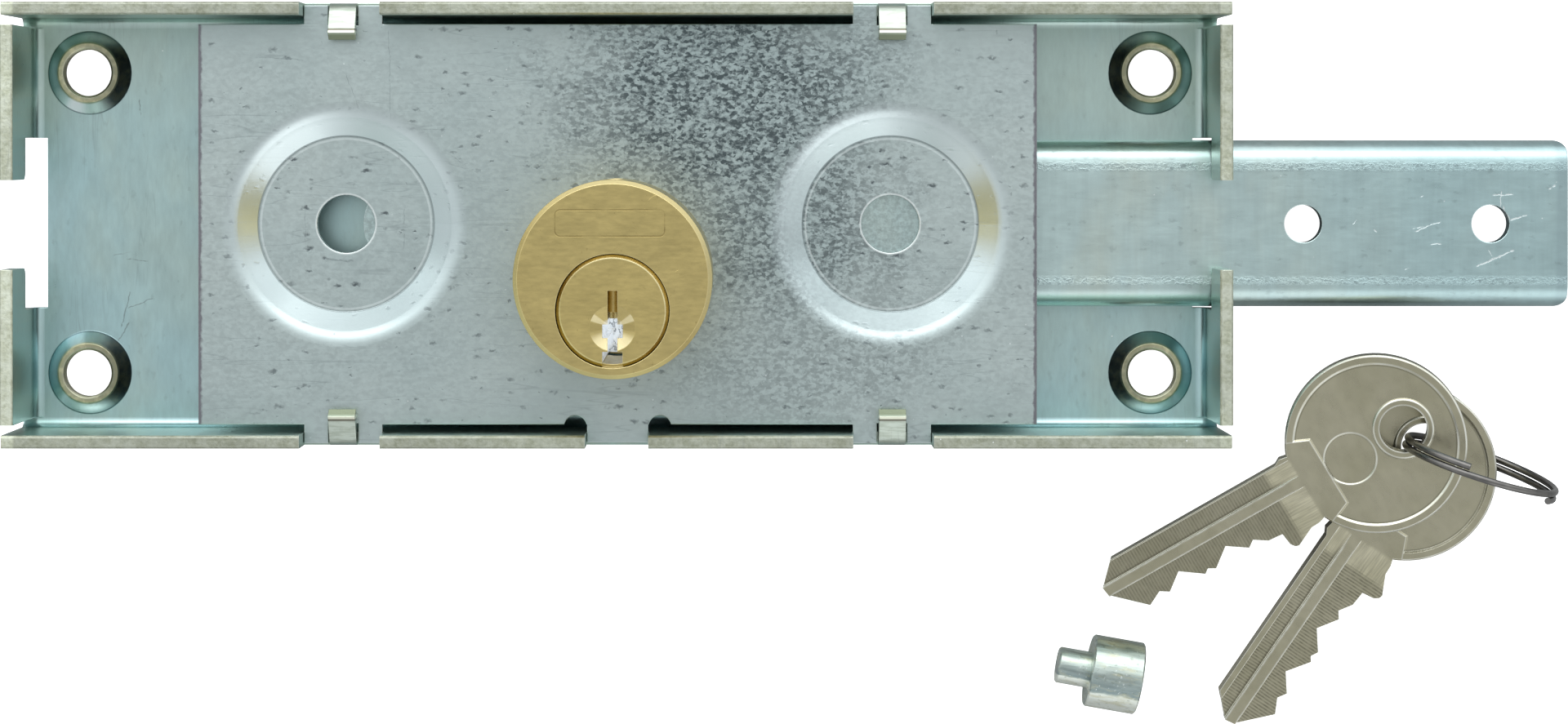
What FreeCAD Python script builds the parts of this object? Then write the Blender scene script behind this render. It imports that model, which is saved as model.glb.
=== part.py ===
"""Roller shutter lock with one side bolt, a round pin cylinder, two keys on a wire ring and a loose stud.

The lock lies on its back: +X is the way the bolt is thrown, +Z points at whoever turns the key.
The origin is the middle of the case's back face. All sizes are in millimetres.
"""
import FreeCAD
import Part

import math
import os

Vec = FreeCAD.Vector
UP = Vec(0, 0, 1)
ORIGIN = Vec(0, 0, 0)
FULL_TURN_ANGLE = 360

# Case: pressed steel tray
CASE_LENGTH = 150.0
CASE_WIDTH = 54.4
CASE_DEPTH = 16.5
CASE_SHEET = 1.6
CASE_BEND = 1.2
CORNER_SLIT = 1.2
FLANGE_END_SLIT = 0.15
RIM_CHAMFER = 0.25
FIXING_FROM_END = 8.5
FIXING_FROM_SIDE = 8.4
FIXING_HOLE = 5.8
DIMPLE_BASE = 10.5
DIMPLE_TOP = 7.4
DIMPLE_RISE = 1.55
SINK_DEPTH = 1.7
SINK_WIDTH = 9.2
HOLE_BREAK = 0.25
MOUTH_NOTCH = 3.2
TONGUE_GAP = 10.9
TONGUE_ROUND = 1.2
EAR_SPACING = 67.4
EAR_WIDTH = 9.6
EAR_CLEARANCE = 0.1
TAB_WIDTH = 3.3
TAB_LENGTH = 3.15
TAB_BEND = 0.6
TAB_ANGLE = 58.0
TAB_START = 0.2

# Cover plate, held down by the four tabs
COVER_LENGTH = 103.0
COVER_SIDE_GAP = 1.0
COVER_SHEET = 1.2
COVER_BELOW_RIM = 5.0
EAR_SHORT_OF_SIDE = 0.3
NOTCH_WIDTH = 3.7
NOTCH_CLEARANCE = 0.1
LOCATOR_WIDTH = 7.5
LOCATOR_SHORT_OF_SIDE = 0.4
RELIEF_RADIUS = 1.4
RELIEF_BESIDE_LOCATOR = 1.45
RELIEF_PAST_EDGE = 0.3
DISH_SPACING = 67.2
DISH_OUTER = 30.2
DISH_FLOOR = 21.7
DISH_ROUND = 3.1
DISH_HOLE = 7.2
DISH_CLEARANCE = 0.2
PLUG_CLEAR_OF_BOLT = 0.2

# Bolt: steel channel with its web up
BOLT_WIDTH = 20.7
BOLT_SHEET = 2.0
BOLT_BEND = 3.0
BOLT_HEIGHT = 5.9
BOLT_REACH = 42.6
BOLT_BEHIND_CYLINDER = 20.0
BOLT_CORNER = 1.4
BOLT_GAP = 0.1
MOUTH_CLEARANCE = 0.3
BOLT_HOLE = 4.7
BOLT_HOLE_END = 9.6
BOLT_HOLE_SPACING = 23.2
TAIL_WIDTH = 11.6
TAIL_LENGTH = 11.6

# Guide stud, riveted to the case in a slot of the bolt
GUIDE_FROM_BOLT_START = 4.0
GUIDE_Y = 4.6
GUIDE_BODY = 4.4
GUIDE_HEAD = 7.2
GUIDE_HEAD_HEIGHT = 1.15
GUIDE_NECK = 3.1
GUIDE_CLEARANCE = 0.1
GUIDE_LIFT = 0.15

# Rack and pinion between the plug and the bolt
GEAR_MODULE = 0.8
GEAR_TEETH = 12
GEAR_TIP = 0.55
GEAR_ROOT = 0.7
GEAR_PRESSURE = 20.0
GEAR_BACKLASH = 0.12
RACK_TEETH = 16
RACK_BODY = 5.9
RACK_THICKNESS = 3.0
PINION_THICKNESS = 2.8
PINION_GAP = 0.1
BOLT_RELIEF = 0.6
RIVET_SHANK = 2.9
RIVET_HEAD = 5.2
RIVET_HEAD_HEIGHT = 0.7
RIVET_SINK = 4.5
RIVET_SINK_DEPTH = 0.7
RIVET_CLEARANCE = 0.05
RIVET_Y = -0.9
RIVET_PLACES = (3.0, 24.0)

# Cylinder: brass barrel with an off-centre plug
BARREL_DIAMETER = 23.5
BARREL_LENGTH = 20.0
BARREL_Y = -6.1
BARREL_CHAMFER = 0.5
PLUG_Y = -9.8
PLUG_DIAMETER = 12.6
PLUG_HEAD_DIAMETER = 13.3
PLUG_HEAD_HEIGHT = 2.0
PLUG_CLEARANCE = 0.05
PLUG_HEAD_CLEARANCE = 0.1
PLUG_BEVEL = 0.45
COUNTERSINK_DIAMETER = 5.45
COUNTERSINK_DEPTH = 0.8
COUNTERSINK_Y = -11.8
TAIL_COLLAR = 5.8
TAIL_SHAFT = 5.0
TAIL_FLATS = 3.8
TAIL_END_GAP = 0.15
CLIP_THICKNESS = 0.8
CLIP_DIAMETER = 14.0
CLIP_GROOVE = 0.6
CLIP_OPENING = 4.0
CLIP_GAP = 0.05
CLIP_HOLE_CLEARANCE = 0.4
PINION_CLIP_THICKNESS = 0.55
PINION_CLIP_DIAMETER = 6.4
PINION_CLIP_GROOVE = 0.8
PINION_CLIP_OPENING = 2.4
SCREW_X = 7.5
SCREW_Y = -1.5
SCREW_SHANK = 3.0
SCREW_LENGTH = 9.7
SCREW_HEAD = 5.5
SCREW_HEAD_HEIGHT = 1.5
SCREW_SLOT = 0.8
SCREW_SLOT_DEPTH = 0.6
SCREW_CLEARANCE = 0.05
SCREW_COVER_CLEARANCE = 0.15

# Pin stacks in the cylinder
PIN_DIAMETER = 2.7
PIN_CLEARANCE = 0.05
PIN_PITCH = 3.35
FIRST_PIN = 3.7
CUT_HEIGHTS = (2.9, 1.9, 3.25, 1.75, 2.75)
PIN_POINT = 0.8
PIN_POINT_DIAMETER = 1.0
DRIVER_LENGTH = 4.0
SHEAR_GAP = 0.08
CHAMBER_FLOOR = 1.05
PIN_REST_GAP = 0.05
BORE_PLUG_LENGTH = 1.3
BORE_PLUG_SINK = 0.15
BORE_PLUG_CLEARANCE = 0.03
SPRING_WIRE = 0.28
SPRING_DIAMETER = 2.2
SPRING_TURNS = 4
SPRING_GAP = 0.06

# Keys: flat blades with one ridge on each face
KEY_THICKNESS = 2.3
BLADE_THICKNESS = 1.05
BLADE_TIP = 38.5
BLADE_SPINE = -3.85
LIP_WIDTHS = (0.2, 0.75)
RIDGE_LOW = -1.35
RIDGE_HIGH = 0.15
KEYWAY_CLEARANCE = 0.05
KEYWAY_TOP_Y = -7.4
LIP_NOTCH_TOP = -14.6
SPINE_Y = -15.45
HEAD_DIAMETER = 22.3
HEAD_RIM = 0.95
HEAD_RIM_HEIGHT = 0.2
HEAD_EDGE = 0.2
COIN_SLOPE = 0.25
RING_HOLE = 5.8
RING_HOLE_RIM = 0.7
RING_HOLE_BACK = 3.9
DISC_DIAMETER = 6.5
DISC_X = 3.6
DISC_DEPTH = 0.12
DISC_SLOPE = 0.15
MILL_END = 14.0
MILL_RUNOUT = 3.8
KEY_STOP = 15.5
TIP_BEVEL = 2.7
TIP_NOSE_LOW = -1.2
TIP_NOSE_HIGH = 0.1
TIP_NOSE_BACK = 0.2
FIRST_PEAK = (-1.6, 3.95)
PEAKS_PAST_PINS = ((0.9, 3.55), (2.45, 3.75), (0.6, 3.7), (2.25, 3.45), (1.9, 3.7))
STOP_LUG = ((0.2, 4.1), (0.0, 5.65), (-0.4, 6.2), (-0.9, 6.35), (-3.4, 5.1), (-4.6, 5.0), (-7.5, 4.0))
SPINE_LUG = ((-7.5, 0.0), (-5.3, -0.25), (-4.2, -0.45), (-3.4, 0.0))
PAD_END = 6.8
PAD_ROOT = 9.6
PAD_END_HALF = 4.5
PAD_ROOT_HALF = 5.7
KEY_PLACES = ((93.93, -27.08), (98.22, -30.90))
KEY_TURN_ANGLES = (211.1, 236.4)
KEY_TILT_ANGLES = (9.9, 4.2)

# Wire ring through both keys
WIRE = 0.85
RING_RADIUS = 9.47
RING_PITCH = 1.27
RING_START_ANGLE = 109.0
RING_END_ANGLE = 752.0
RING_X = 106.3
RING_Y = -29.95
RING_TURN_ANGLE = -17.5
RING_LEAN_ANGLE = 96.5
RING_LIFT = 0.1

# Loose stepped stud
STUD_HEAD = 9.0
STUD_HEAD_LENGTH = 6.4
STUD_SHANK = 4.5
STUD_SHANK_LENGTH = 4.0
STUD_CHAMFER = 0.2
STUD_X = 61.7
STUD_Y = -56.3
STUD_TURN_ANGLE = 170.0

# Levels and places that follow from the sizes above
CUT = 1.0
case_outer_bend = CASE_BEND + CASE_SHEET
flat_half_x = CASE_LENGTH / 2 - case_outer_bend
flat_half_y = CASE_WIDTH / 2 - case_outer_bend
fixing_x = CASE_LENGTH / 2 - FIXING_FROM_END
fixing_y = CASE_WIDTH / 2 - FIXING_FROM_SIDE
cover_under = CASE_DEPTH - COVER_BELOW_RIM - COVER_SHEET
cover_top = cover_under + COVER_SHEET
bolt_under = CASE_SHEET + BOLT_GAP
bolt_top = bolt_under + BOLT_HEIGHT
web_under = bolt_top - BOLT_SHEET
bolt_end = CASE_LENGTH / 2 + BOLT_REACH
bolt_start = -BOLT_BEHIND_CYLINDER
guide_x = bolt_start + GUIDE_FROM_BOLT_START
cover_half_width = CASE_WIDTH / 2 - CASE_SHEET - COVER_SIDE_GAP
ear_reach = CASE_WIDTH / 2 - EAR_SHORT_OF_SIDE
locator_reach = CASE_WIDTH / 2 - LOCATOR_SHORT_OF_SIDE
mouth_top = bolt_top + MOUTH_CLEARANCE
mouth_half = BOLT_WIDTH / 2 + MOUTH_CLEARANCE
pitch_radius = GEAR_MODULE * GEAR_TEETH / 2
tooth_pitch = math.pi * GEAR_MODULE
rack_line = PLUG_Y + pitch_radius
bolt_travel = 2 * math.pi * pitch_radius
gear_outer = pitch_radius + GEAR_TIP
rack_top = web_under
rack_under = rack_top - RACK_THICKNESS
pinion_top = web_under - PINION_GAP
pinion_under = pinion_top - PINION_THICKNESS
tail_end = CASE_SHEET + TAIL_END_GAP
face = cover_top + BARREL_LENGTH
plug_radius = PLUG_DIAMETER / 2
bore_radius = plug_radius + PLUG_CLEARANCE
keyway_depth = BLADE_TIP - KEY_STOP
dish_floor_under = bolt_top + DISH_CLEARANCE
plug_end = bolt_top + PLUG_CLEAR_OF_BOLT
key_to_plug = SPINE_Y - BLADE_SPINE
clip_top = cover_top - CLIP_GAP * 2
clip_under = clip_top - CLIP_THICKNESS
pin_radius = PIN_DIAMETER / 2
chamber_radius = pin_radius + PIN_CLEARANCE
driver_start = PLUG_Y + plug_radius + SHEAR_GAP
driver_end = driver_start + DRIVER_LENGTH
pin_top = PLUG_Y + math.sqrt(plug_radius ** 2 - chamber_radius ** 2)
barrel_back_y = BARREL_Y + BARREL_DIAMETER / 2
bore_plug_top = barrel_back_y - BORE_PLUG_SINK
bore_plug_bottom = bore_plug_top - BORE_PLUG_LENGTH
chamber_floor = PLUG_Y - CHAMBER_FLOOR
pin_rest = chamber_floor + PIN_REST_GAP
pin_levels = [face - FIRST_PIN - PIN_PITCH * i for i in range(len(CUT_HEIGHTS))]


def box(x0, x1, y0, y1, z0, z1):
    """A box between two corners."""
    return Part.makeBox(x1 - x0, y1 - y0, z1 - z0, Vec(x0, y0, z0))


def post(x, y, z0, z1, diameter):
    """An upright cylinder."""
    return Part.makeCylinder(diameter / 2, z1 - z0, Vec(x, y, z0), UP)


def cone(x, y, z0, z1, diameter0, diameter1):
    """An upright cone, diameter0 at z0 and diameter1 at z1."""
    return Part.makeCone(diameter0 / 2, diameter1 / 2, z1 - z0, Vec(x, y, z0), UP)


def solid(shape):
    """The shape without seams between faces of one surface."""
    return shape.removeSplitter()


def prism(edges, way):
    """The closed outline pushed along a vector."""
    return Part.Face(Part.Wire(edges)).extrude(way)


def lines(points):
    """Straight edges from point to point."""
    return [Part.LineSegment(a, b).toShape() for a, b in zip(points, points[1:])]


def polygon(points, way):
    """A closed straight-sided outline pushed along a vector."""
    return prism(lines(points + points[:1]), way)


def arc(centre, radius, angle0, angle1, plane):
    """An arc from angle0 to angle1 in degrees; plane turns two lengths into a point."""
    def at(angle):
        turn = math.radians(angle)
        return plane(centre[0] + radius * math.cos(turn), centre[1] + radius * math.sin(turn))
    return Part.Arc(at(angle0), at((angle0 + angle1) / 2), at(angle1)).toShape()


def chain(edges):
    """Edges joined end to end by straight lines, and closed."""
    joined = []
    for edge, after in zip(edges, edges[1:] + edges[:1]):
        joined.append(edge)
        end = edge.valueAt(edge.LastParameter)
        start = after.valueAt(after.FirstParameter)
        if (end - start).Length > 1e-6:
            joined.append(Part.LineSegment(end, start).toShape())
    return joined


def both(shape, axis):
    """The shape and its mirror image through the origin."""
    return shape.fuse(shape.mirror(ORIGIN, axis))


def turned(points, centre):
    """A ring-shaped solid from its half section, points as (radius, z)."""
    edges = lines([Vec(centre[0] + r, centre[1], z) for r, z in points + points[:1]])
    return Part.Face(Part.Wire(edges)).revolve(Vec(centre[0], centre[1], 0), UP, FULL_TURN_ANGLE)


# The bent edge of the case
def flange(reach, half_length, along_x):
    """One upright edge of the tray with its bend, on the + side."""
    def plane(out, z):
        return Vec(-half_length, out, z) if along_x else Vec(out, -half_length, z)
    centre = (reach - case_outer_bend, case_outer_bend)
    bend = arc(centre, case_outer_bend, -90, 0, plane)
    inside = arc(centre, CASE_BEND, 0, -90, plane)
    rim = lines([
        plane(reach, CASE_DEPTH - RIM_CHAMFER),
        plane(reach - RIM_CHAMFER, CASE_DEPTH),
        plane(reach - CASE_SHEET + RIM_CHAMFER, CASE_DEPTH),
        plane(reach - CASE_SHEET, CASE_DEPTH - RIM_CHAMFER),
    ])
    way = Vec(2 * half_length, 0, 0) if along_x else Vec(0, 2 * half_length, 0)
    return prism(chain([bend] + rim + [inside]), way)


# One tab, bent inward over the cover plate
def tab(x):
    """A tab on the +Y edge, leaning over the notch in the cover's ear."""
    outside = CASE_WIDTH / 2
    start = cover_under + TAB_START
    centre = (outside - CASE_SHEET - TAB_BEND, start)
    lean = math.radians(TAB_ANGLE)
    run = (-math.sin(lean) * TAB_LENGTH, math.cos(lean) * TAB_LENGTH)

    def plane(y, z):
        return Vec(x - TAB_WIDTH / 2, y, z)

    outer = arc(centre, TAB_BEND + CASE_SHEET, 0, TAB_ANGLE, plane)
    inner = arc(centre, TAB_BEND, TAB_ANGLE, 0, plane)
    top = outer.valueAt(outer.LastParameter)
    low = inner.valueAt(inner.FirstParameter)
    root = cover_under - CASE_SHEET
    edges = lines([plane(outside - CASE_SHEET, root), plane(outside, root), plane(outside, start)])
    edges += [outer]
    edges += lines([top, top + Vec(0, *run), low + Vec(0, *run), low])
    return prism(chain(edges + [inner]), Vec(TAB_WIDTH, 0, 0))


def tab_inner_y():
    """Where the inner face of a tab passes the cover's top face."""
    lean = math.radians(TAB_ANGLE)
    y = CASE_WIDTH / 2 - CASE_SHEET - TAB_BEND * (1 - math.cos(lean))
    z = cover_under + TAB_START + TAB_BEND * math.sin(lean)
    return y - max(cover_top - z, 0) * math.tan(lean)


def tongue_corner(side, end):
    """The corner that is rounded off one tongue of a bolt mouth."""
    x = end * (CASE_LENGTH / 2 + CUT)
    y = side * TONGUE_GAP / 2

    def plane(along, z):
        return Vec(x, side * along, z)

    centre = (TONGUE_GAP / 2 + TONGUE_ROUND, mouth_top + TONGUE_ROUND)
    curve = arc(centre, TONGUE_ROUND, 180, 270, plane)
    foot = Vec(x, y, mouth_top)
    edges = [curve] + lines([curve.valueAt(curve.LastParameter), foot, curve.valueAt(curve.FirstParameter)])
    return prism(edges, Vec(-end * (CASE_SHEET + 2 * CUT), 0, 0))


def make_case():
    """The tray: base, four bent edges, raised fixing holes, bolt mouths and cover seats."""
    body = box(-flat_half_x, flat_half_x, -flat_half_y, flat_half_y, 0, CASE_SHEET)
    long_half = CASE_LENGTH / 2 - FLANGE_END_SLIT
    side_half = CASE_WIDTH / 2 - CASE_SHEET - CORNER_SLIT
    body = body.fuse(both(flange(CASE_WIDTH / 2, long_half, True), Vec(0, 1, 0)))
    body = body.fuse(both(flange(CASE_LENGTH / 2, side_half, False), Vec(1, 0, 0)))
    deep = CASE_DEPTH + CUT
    edge_in = CASE_WIDTH / 2 - CASE_SHEET - CUT
    edge_out = CASE_WIDTH / 2 + CUT
    gap_half = EAR_WIDTH / 2 + EAR_CLEARANCE
    for x in (-EAR_SPACING / 2, EAR_SPACING / 2):
        gap = box(x - gap_half, x + gap_half, edge_in, edge_out, cover_under, deep)
        body = body.cut(both(gap, Vec(0, 1, 0)))
        body = body.fuse(both(tab(x), Vec(0, 1, 0)))
    locator_half = LOCATOR_WIDTH / 2 + EAR_CLEARANCE
    body = body.cut(box(-locator_half, locator_half, -edge_out, -edge_in, cover_under, deep))
    mouth_in = CASE_LENGTH / 2 - MOUTH_NOTCH
    mouth_out = CASE_LENGTH / 2 + CUT
    for end in (-1, 1):
        low, high = sorted((end * mouth_in, end * mouth_out))
        body = body.cut(box(low, high, -mouth_half, mouth_half, -CUT, mouth_top))
        body = body.cut(box(low, high, -TONGUE_GAP / 2, TONGUE_GAP / 2, mouth_top - CUT, deep))
        for side in (-1, 1):
            body = body.cut(tongue_corner(side, end))
    for x in (-fixing_x, fixing_x):
        for y in (-fixing_y, fixing_y):
            top = CASE_SHEET + DIMPLE_RISE
            body = body.fuse(cone(x, y, CASE_SHEET, top, DIMPLE_BASE, DIMPLE_TOP))
            body = body.cut(post(x, y, -CUT, deep, FIXING_HOLE))
            body = body.cut(cone(x, y, 0, SINK_DEPTH, SINK_WIDTH, FIXING_HOLE))
            wide = FIXING_HOLE + 2 * HOLE_BREAK
            body = body.cut(cone(x, y, top - HOLE_BREAK, top, FIXING_HOLE, wide))
    body = body.cut(post(guide_x, GUIDE_Y, -CUT, deep, GUIDE_NECK + GUIDE_CLEARANCE))
    return solid(body)


# Cover plate
def dish(x):
    """One sunken dish of the cover: a round shoulder, a straight slope and a sharp-edged flat floor."""
    floor_top = dish_floor_under + COVER_SHEET
    outer = DISH_OUTER / 2
    run = outer - DISH_FLOOR / 2
    rise = cover_top - floor_top - DISH_ROUND
    slope = math.atan2(rise, run) + math.asin(DISH_ROUND / math.hypot(run, rise))
    centre = (outer, cover_top - DISH_ROUND)
    under_round = DISH_ROUND - COVER_SHEET
    under_drop = centre[1] + under_round * math.cos(slope) - dish_floor_under
    under_foot = outer - under_round * math.sin(slope) - under_drop / math.tan(slope)

    def plane(r, z):
        return Vec(x + r, 0, z)

    foot_angle = 90 + math.degrees(slope)
    rim = lines([plane(outer, cover_under), plane(outer, cover_top)])
    upper = arc(centre, DISH_ROUND, 90, foot_angle, plane)
    floor = lines([
        plane(DISH_FLOOR / 2, floor_top), plane(DISH_HOLE / 2, floor_top),
        plane(DISH_HOLE / 2, dish_floor_under), plane(under_foot, dish_floor_under),
    ])
    lower = arc(centre, under_round, foot_angle, 90, plane)
    section = Part.Face(Part.Wire(chain(rim + [upper] + floor + [lower])))
    return section.revolve(Vec(x, 0, 0), UP, FULL_TURN_ANGLE)


def make_cover():
    """The cover plate with its ears, locating tongue, dishes and the cylinder's holes."""
    half = COVER_LENGTH / 2
    body = box(-half, half, -cover_half_width, cover_half_width, cover_under, cover_top)
    notch_y = tab_inner_y() - NOTCH_CLEARANCE
    for x in (-EAR_SPACING / 2, EAR_SPACING / 2):
        ear = box(x - EAR_WIDTH / 2, x + EAR_WIDTH / 2, -ear_reach, ear_reach, cover_under, cover_top)
        slot = box(x - NOTCH_WIDTH / 2, x + NOTCH_WIDTH / 2, notch_y, ear_reach + CUT, cover_under, cover_top)
        body = body.fuse(ear).cut(both(slot, Vec(0, 1, 0)))
    body = body.fuse(box(-LOCATOR_WIDTH / 2, LOCATOR_WIDTH / 2, -locator_reach, 0, cover_under, cover_top))
    relief_x = LOCATOR_WIDTH / 2 + RELIEF_BESIDE_LOCATOR
    relief_y = -cover_half_width - RELIEF_PAST_EDGE
    for x in (-relief_x, relief_x):
        body = body.cut(post(x, relief_y, cover_under, cover_top, 2 * RELIEF_RADIUS))
    for x in (-DISH_SPACING / 2, DISH_SPACING / 2):
        body = body.cut(post(x, 0, cover_under, cover_top, DISH_OUTER)).fuse(dish(x))
    clip_hole = CLIP_DIAMETER + 2 * CLIP_HOLE_CLEARANCE
    body = body.cut(post(0, PLUG_Y, cover_under, cover_top, clip_hole))
    for x in (-SCREW_X, SCREW_X):
        hole = SCREW_SHANK + 2 * SCREW_COVER_CLEARANCE
        body = body.cut(post(x, SCREW_Y, cover_under, cover_top, hole))
    return solid(body)


# Bolt and what is riveted to it
def make_bolt():
    """The channel-section bolt, with its tail, slot, holes and the cut-out over the pinion."""
    half = BOLT_WIDTH / 2
    bend_y = half - BOLT_BEND
    bend_z = bolt_top - BOLT_BEND
    inner = BOLT_BEND - BOLT_SHEET

    def plane(y, z):
        return Vec(bolt_start, y, z)

    section = [
        arc((bend_y, bend_z), BOLT_BEND, 0, 90, plane),
        arc((-bend_y, bend_z), BOLT_BEND, 90, 180, plane),
    ]
    section += lines([plane(-half, bolt_under), plane(-half + BOLT_SHEET, bolt_under)])
    section += [
        arc((-bend_y, bend_z), inner, 180, 90, plane),
        arc((bend_y, bend_z), inner, 90, 0, plane),
    ]
    section += lines([plane(half - BOLT_SHEET, bolt_under), plane(half, bolt_under)])
    body = prism(chain(section), Vec(bolt_end - bolt_start, 0, 0))
    for side in (-1, 1):
        corner = (bolt_end - BOLT_CORNER, half - BOLT_CORNER)

        def plan(x, y):
            return Vec(x, side * y, bolt_under - CUT)

        curve = arc(corner, BOLT_CORNER, 0, 90, plan)
        far = Vec(bolt_end + CUT, side * (half + CUT), bolt_under - CUT)
        start = curve.valueAt(curve.FirstParameter)
        stop = curve.valueAt(curve.LastParameter)
        edges = [curve] + lines([stop, Vec(stop.x, far.y, stop.z), far, Vec(far.x, start.y, start.z), start])
        body = body.cut(prism(edges, Vec(0, 0, BOLT_HEIGHT + 2 * CUT)))
    tail_round = bolt_start - TAIL_LENGTH + TAIL_WIDTH / 2
    body = body.fuse(box(tail_round, bolt_start + CUT, -TAIL_WIDTH / 2, TAIL_WIDTH / 2, web_under, bolt_top))
    body = body.fuse(post(tail_round, 0, web_under, bolt_top, TAIL_WIDTH))
    first_hole = bolt_end - BOLT_HOLE_END
    for x in (first_hole, first_hole - BOLT_HOLE_SPACING):
        body = body.cut(post(x, 0, bolt_under, bolt_top + CUT, BOLT_HOLE))
    slot = GUIDE_BODY / 2 + GUIDE_CLEARANCE
    slot_end = guide_x + bolt_travel
    body = body.cut(box(guide_x, slot_end, GUIDE_Y - slot, GUIDE_Y + slot, web_under, bolt_top))
    for x in (guide_x, slot_end):
        body = body.cut(post(x, GUIDE_Y, web_under, bolt_top, 2 * slot))
    relief_y = PLUG_Y + TAIL_COLLAR / 2 + MOUTH_CLEARANCE
    relief_x = gear_outer + BOLT_RELIEF
    body = body.cut(box(-relief_x, bolt_travel + relief_x, -half - CUT, relief_y, 0, bolt_top + CUT))
    for x in RIVET_PLACES:
        body = body.cut(post(x, RIVET_Y, web_under, bolt_top, RIVET_SHANK + 2 * RIVET_CLEARANCE))
        wide = RIVET_SINK + 2 * RIVET_CLEARANCE
        low = bolt_top - RIVET_SINK_DEPTH
        body = body.cut(cone(x, RIVET_Y, low, bolt_top, RIVET_SHANK + 2 * RIVET_CLEARANCE, wide))
    return solid(body)


def make_rack():
    """The toothed bar under the bolt's web. A tooth space lies over the pinion's top tooth."""
    slope = math.tan(math.radians(GEAR_PRESSURE))
    half = (tooth_pitch / 2 - GEAR_BACKLASH) / 2
    tip = rack_line - GEAR_TIP
    root = rack_line + GEAR_ROOT
    start = -2 * tooth_pitch
    points = [Vec(start, root, rack_under)]
    for i in range(RACK_TEETH):
        x = start + (i + 0.5) * tooth_pitch
        points.append(Vec(x - half - slope * GEAR_ROOT, root, rack_under))
        points.append(Vec(x - half + slope * GEAR_TIP, tip, rack_under))
        points.append(Vec(x + half - slope * GEAR_TIP, tip, rack_under))
        points.append(Vec(x + half + slope * GEAR_ROOT, root, rack_under))
    end = start + RACK_TEETH * tooth_pitch
    points += [Vec(end, root, rack_under), Vec(end, root + RACK_BODY, rack_under)]
    points.append(Vec(start, root + RACK_BODY, rack_under))
    body = polygon(points, Vec(0, 0, RACK_THICKNESS))
    for x in RIVET_PLACES:
        body = body.cut(post(x, RIVET_Y, rack_under, rack_top, RIVET_SHANK + 2 * RIVET_CLEARANCE))
    return body


def make_rack_rivets():
    """The rivets of the rack: a flat head below, a countersunk head flush with the bolt."""
    rivets = []
    for x in RIVET_PLACES:
        flush = bolt_top - RIVET_CLEARANCE
        rivet = post(x, RIVET_Y, rack_under, flush, RIVET_SHANK)
        rivet = rivet.fuse(post(x, RIVET_Y, rack_under - RIVET_HEAD_HEIGHT, rack_under, RIVET_HEAD))
        low = bolt_top - RIVET_SINK_DEPTH
        rivet = rivet.fuse(cone(x, RIVET_Y, low, flush, RIVET_SHANK, RIVET_SINK - 2 * RIVET_CLEARANCE))
        rivets.append(solid(rivet))
    return Part.makeCompound(rivets)


def make_guide_stud():
    """The headed stud in the bolt's slot, riveted through the base."""
    head_under = bolt_top + GUIDE_LIFT
    head_top = head_under + GUIDE_HEAD_HEIGHT
    profile = [
        (0, 0), (GUIDE_NECK / 2, 0), (GUIDE_NECK / 2, CASE_SHEET), (GUIDE_BODY / 2, CASE_SHEET),
        (GUIDE_BODY / 2, head_under), (GUIDE_HEAD / 2, head_under), (GUIDE_HEAD / 2, head_top), (0, head_top),
    ]
    return turned(profile, (guide_x, GUIDE_Y))


# Pinion
def involute(radius):
    """How far an involute has turned, in radians, where it reaches this radius."""
    base = pitch_radius * math.cos(math.radians(GEAR_PRESSURE))
    roll = math.sqrt(max((radius / base) ** 2 - 1, 0))
    return roll - math.atan(roll)


def flats_shaft(z0, z1, clearance):
    """The plug's tail, round with two flats, between two levels."""
    radius = TAIL_SHAFT / 2 + clearance
    flat = TAIL_FLATS / 2 + clearance
    return post(0, PLUG_Y, z0, z1, 2 * radius).common(
        box(-flat, flat, PLUG_Y - radius, PLUG_Y + radius, z0, z1))


def make_pinion():
    """A twelve-tooth pinion with one tooth pointing at +Y, bored to fit the plug's tail."""
    base = pitch_radius * math.cos(math.radians(GEAR_PRESSURE))
    root = pitch_radius - GEAR_ROOT
    half = (tooth_pitch / 2 - GEAR_BACKLASH) / (2 * pitch_radius)

    def at(radius, angle):
        return Vec(radius * math.sin(angle), PLUG_Y + radius * math.cos(angle), pinion_under)

    def side(radius):
        return half + involute(pitch_radius) - involute(radius)

    radii = [base + (gear_outer - base) * i / 3 for i in range(4)]
    edges = []
    step = 2 * math.pi / GEAR_TEETH
    for i in range(GEAR_TEETH):
        middle = i * step
        rise = Part.BSplineCurve()
        rise.interpolate([at(r, middle - side(r)) for r in radii])
        fall = Part.BSplineCurve()
        fall.interpolate([at(r, middle + side(r)) for r in reversed(radii)])
        foot = side(base)
        valley = middle + step / 2
        edges.append(Part.LineSegment(at(root, middle - foot), at(base, middle - foot)).toShape())
        edges.append(rise.toShape())
        tip = Part.Arc(at(gear_outer, middle - side(gear_outer)), at(gear_outer, middle),
                       at(gear_outer, middle + side(gear_outer)))
        edges.append(tip.toShape())
        edges.append(fall.toShape())
        edges.append(Part.LineSegment(at(base, middle + foot), at(root, middle + foot)).toShape())
        dip = Part.Arc(at(root, middle + foot), at(root, valley), at(root, middle + step - foot))
        edges.append(dip.toShape())
    body = prism(edges, Vec(0, 0, PINION_THICKNESS))
    return body.cut(flats_shaft(pinion_under - CUT, pinion_top + CUT, CLIP_GAP))


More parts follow.
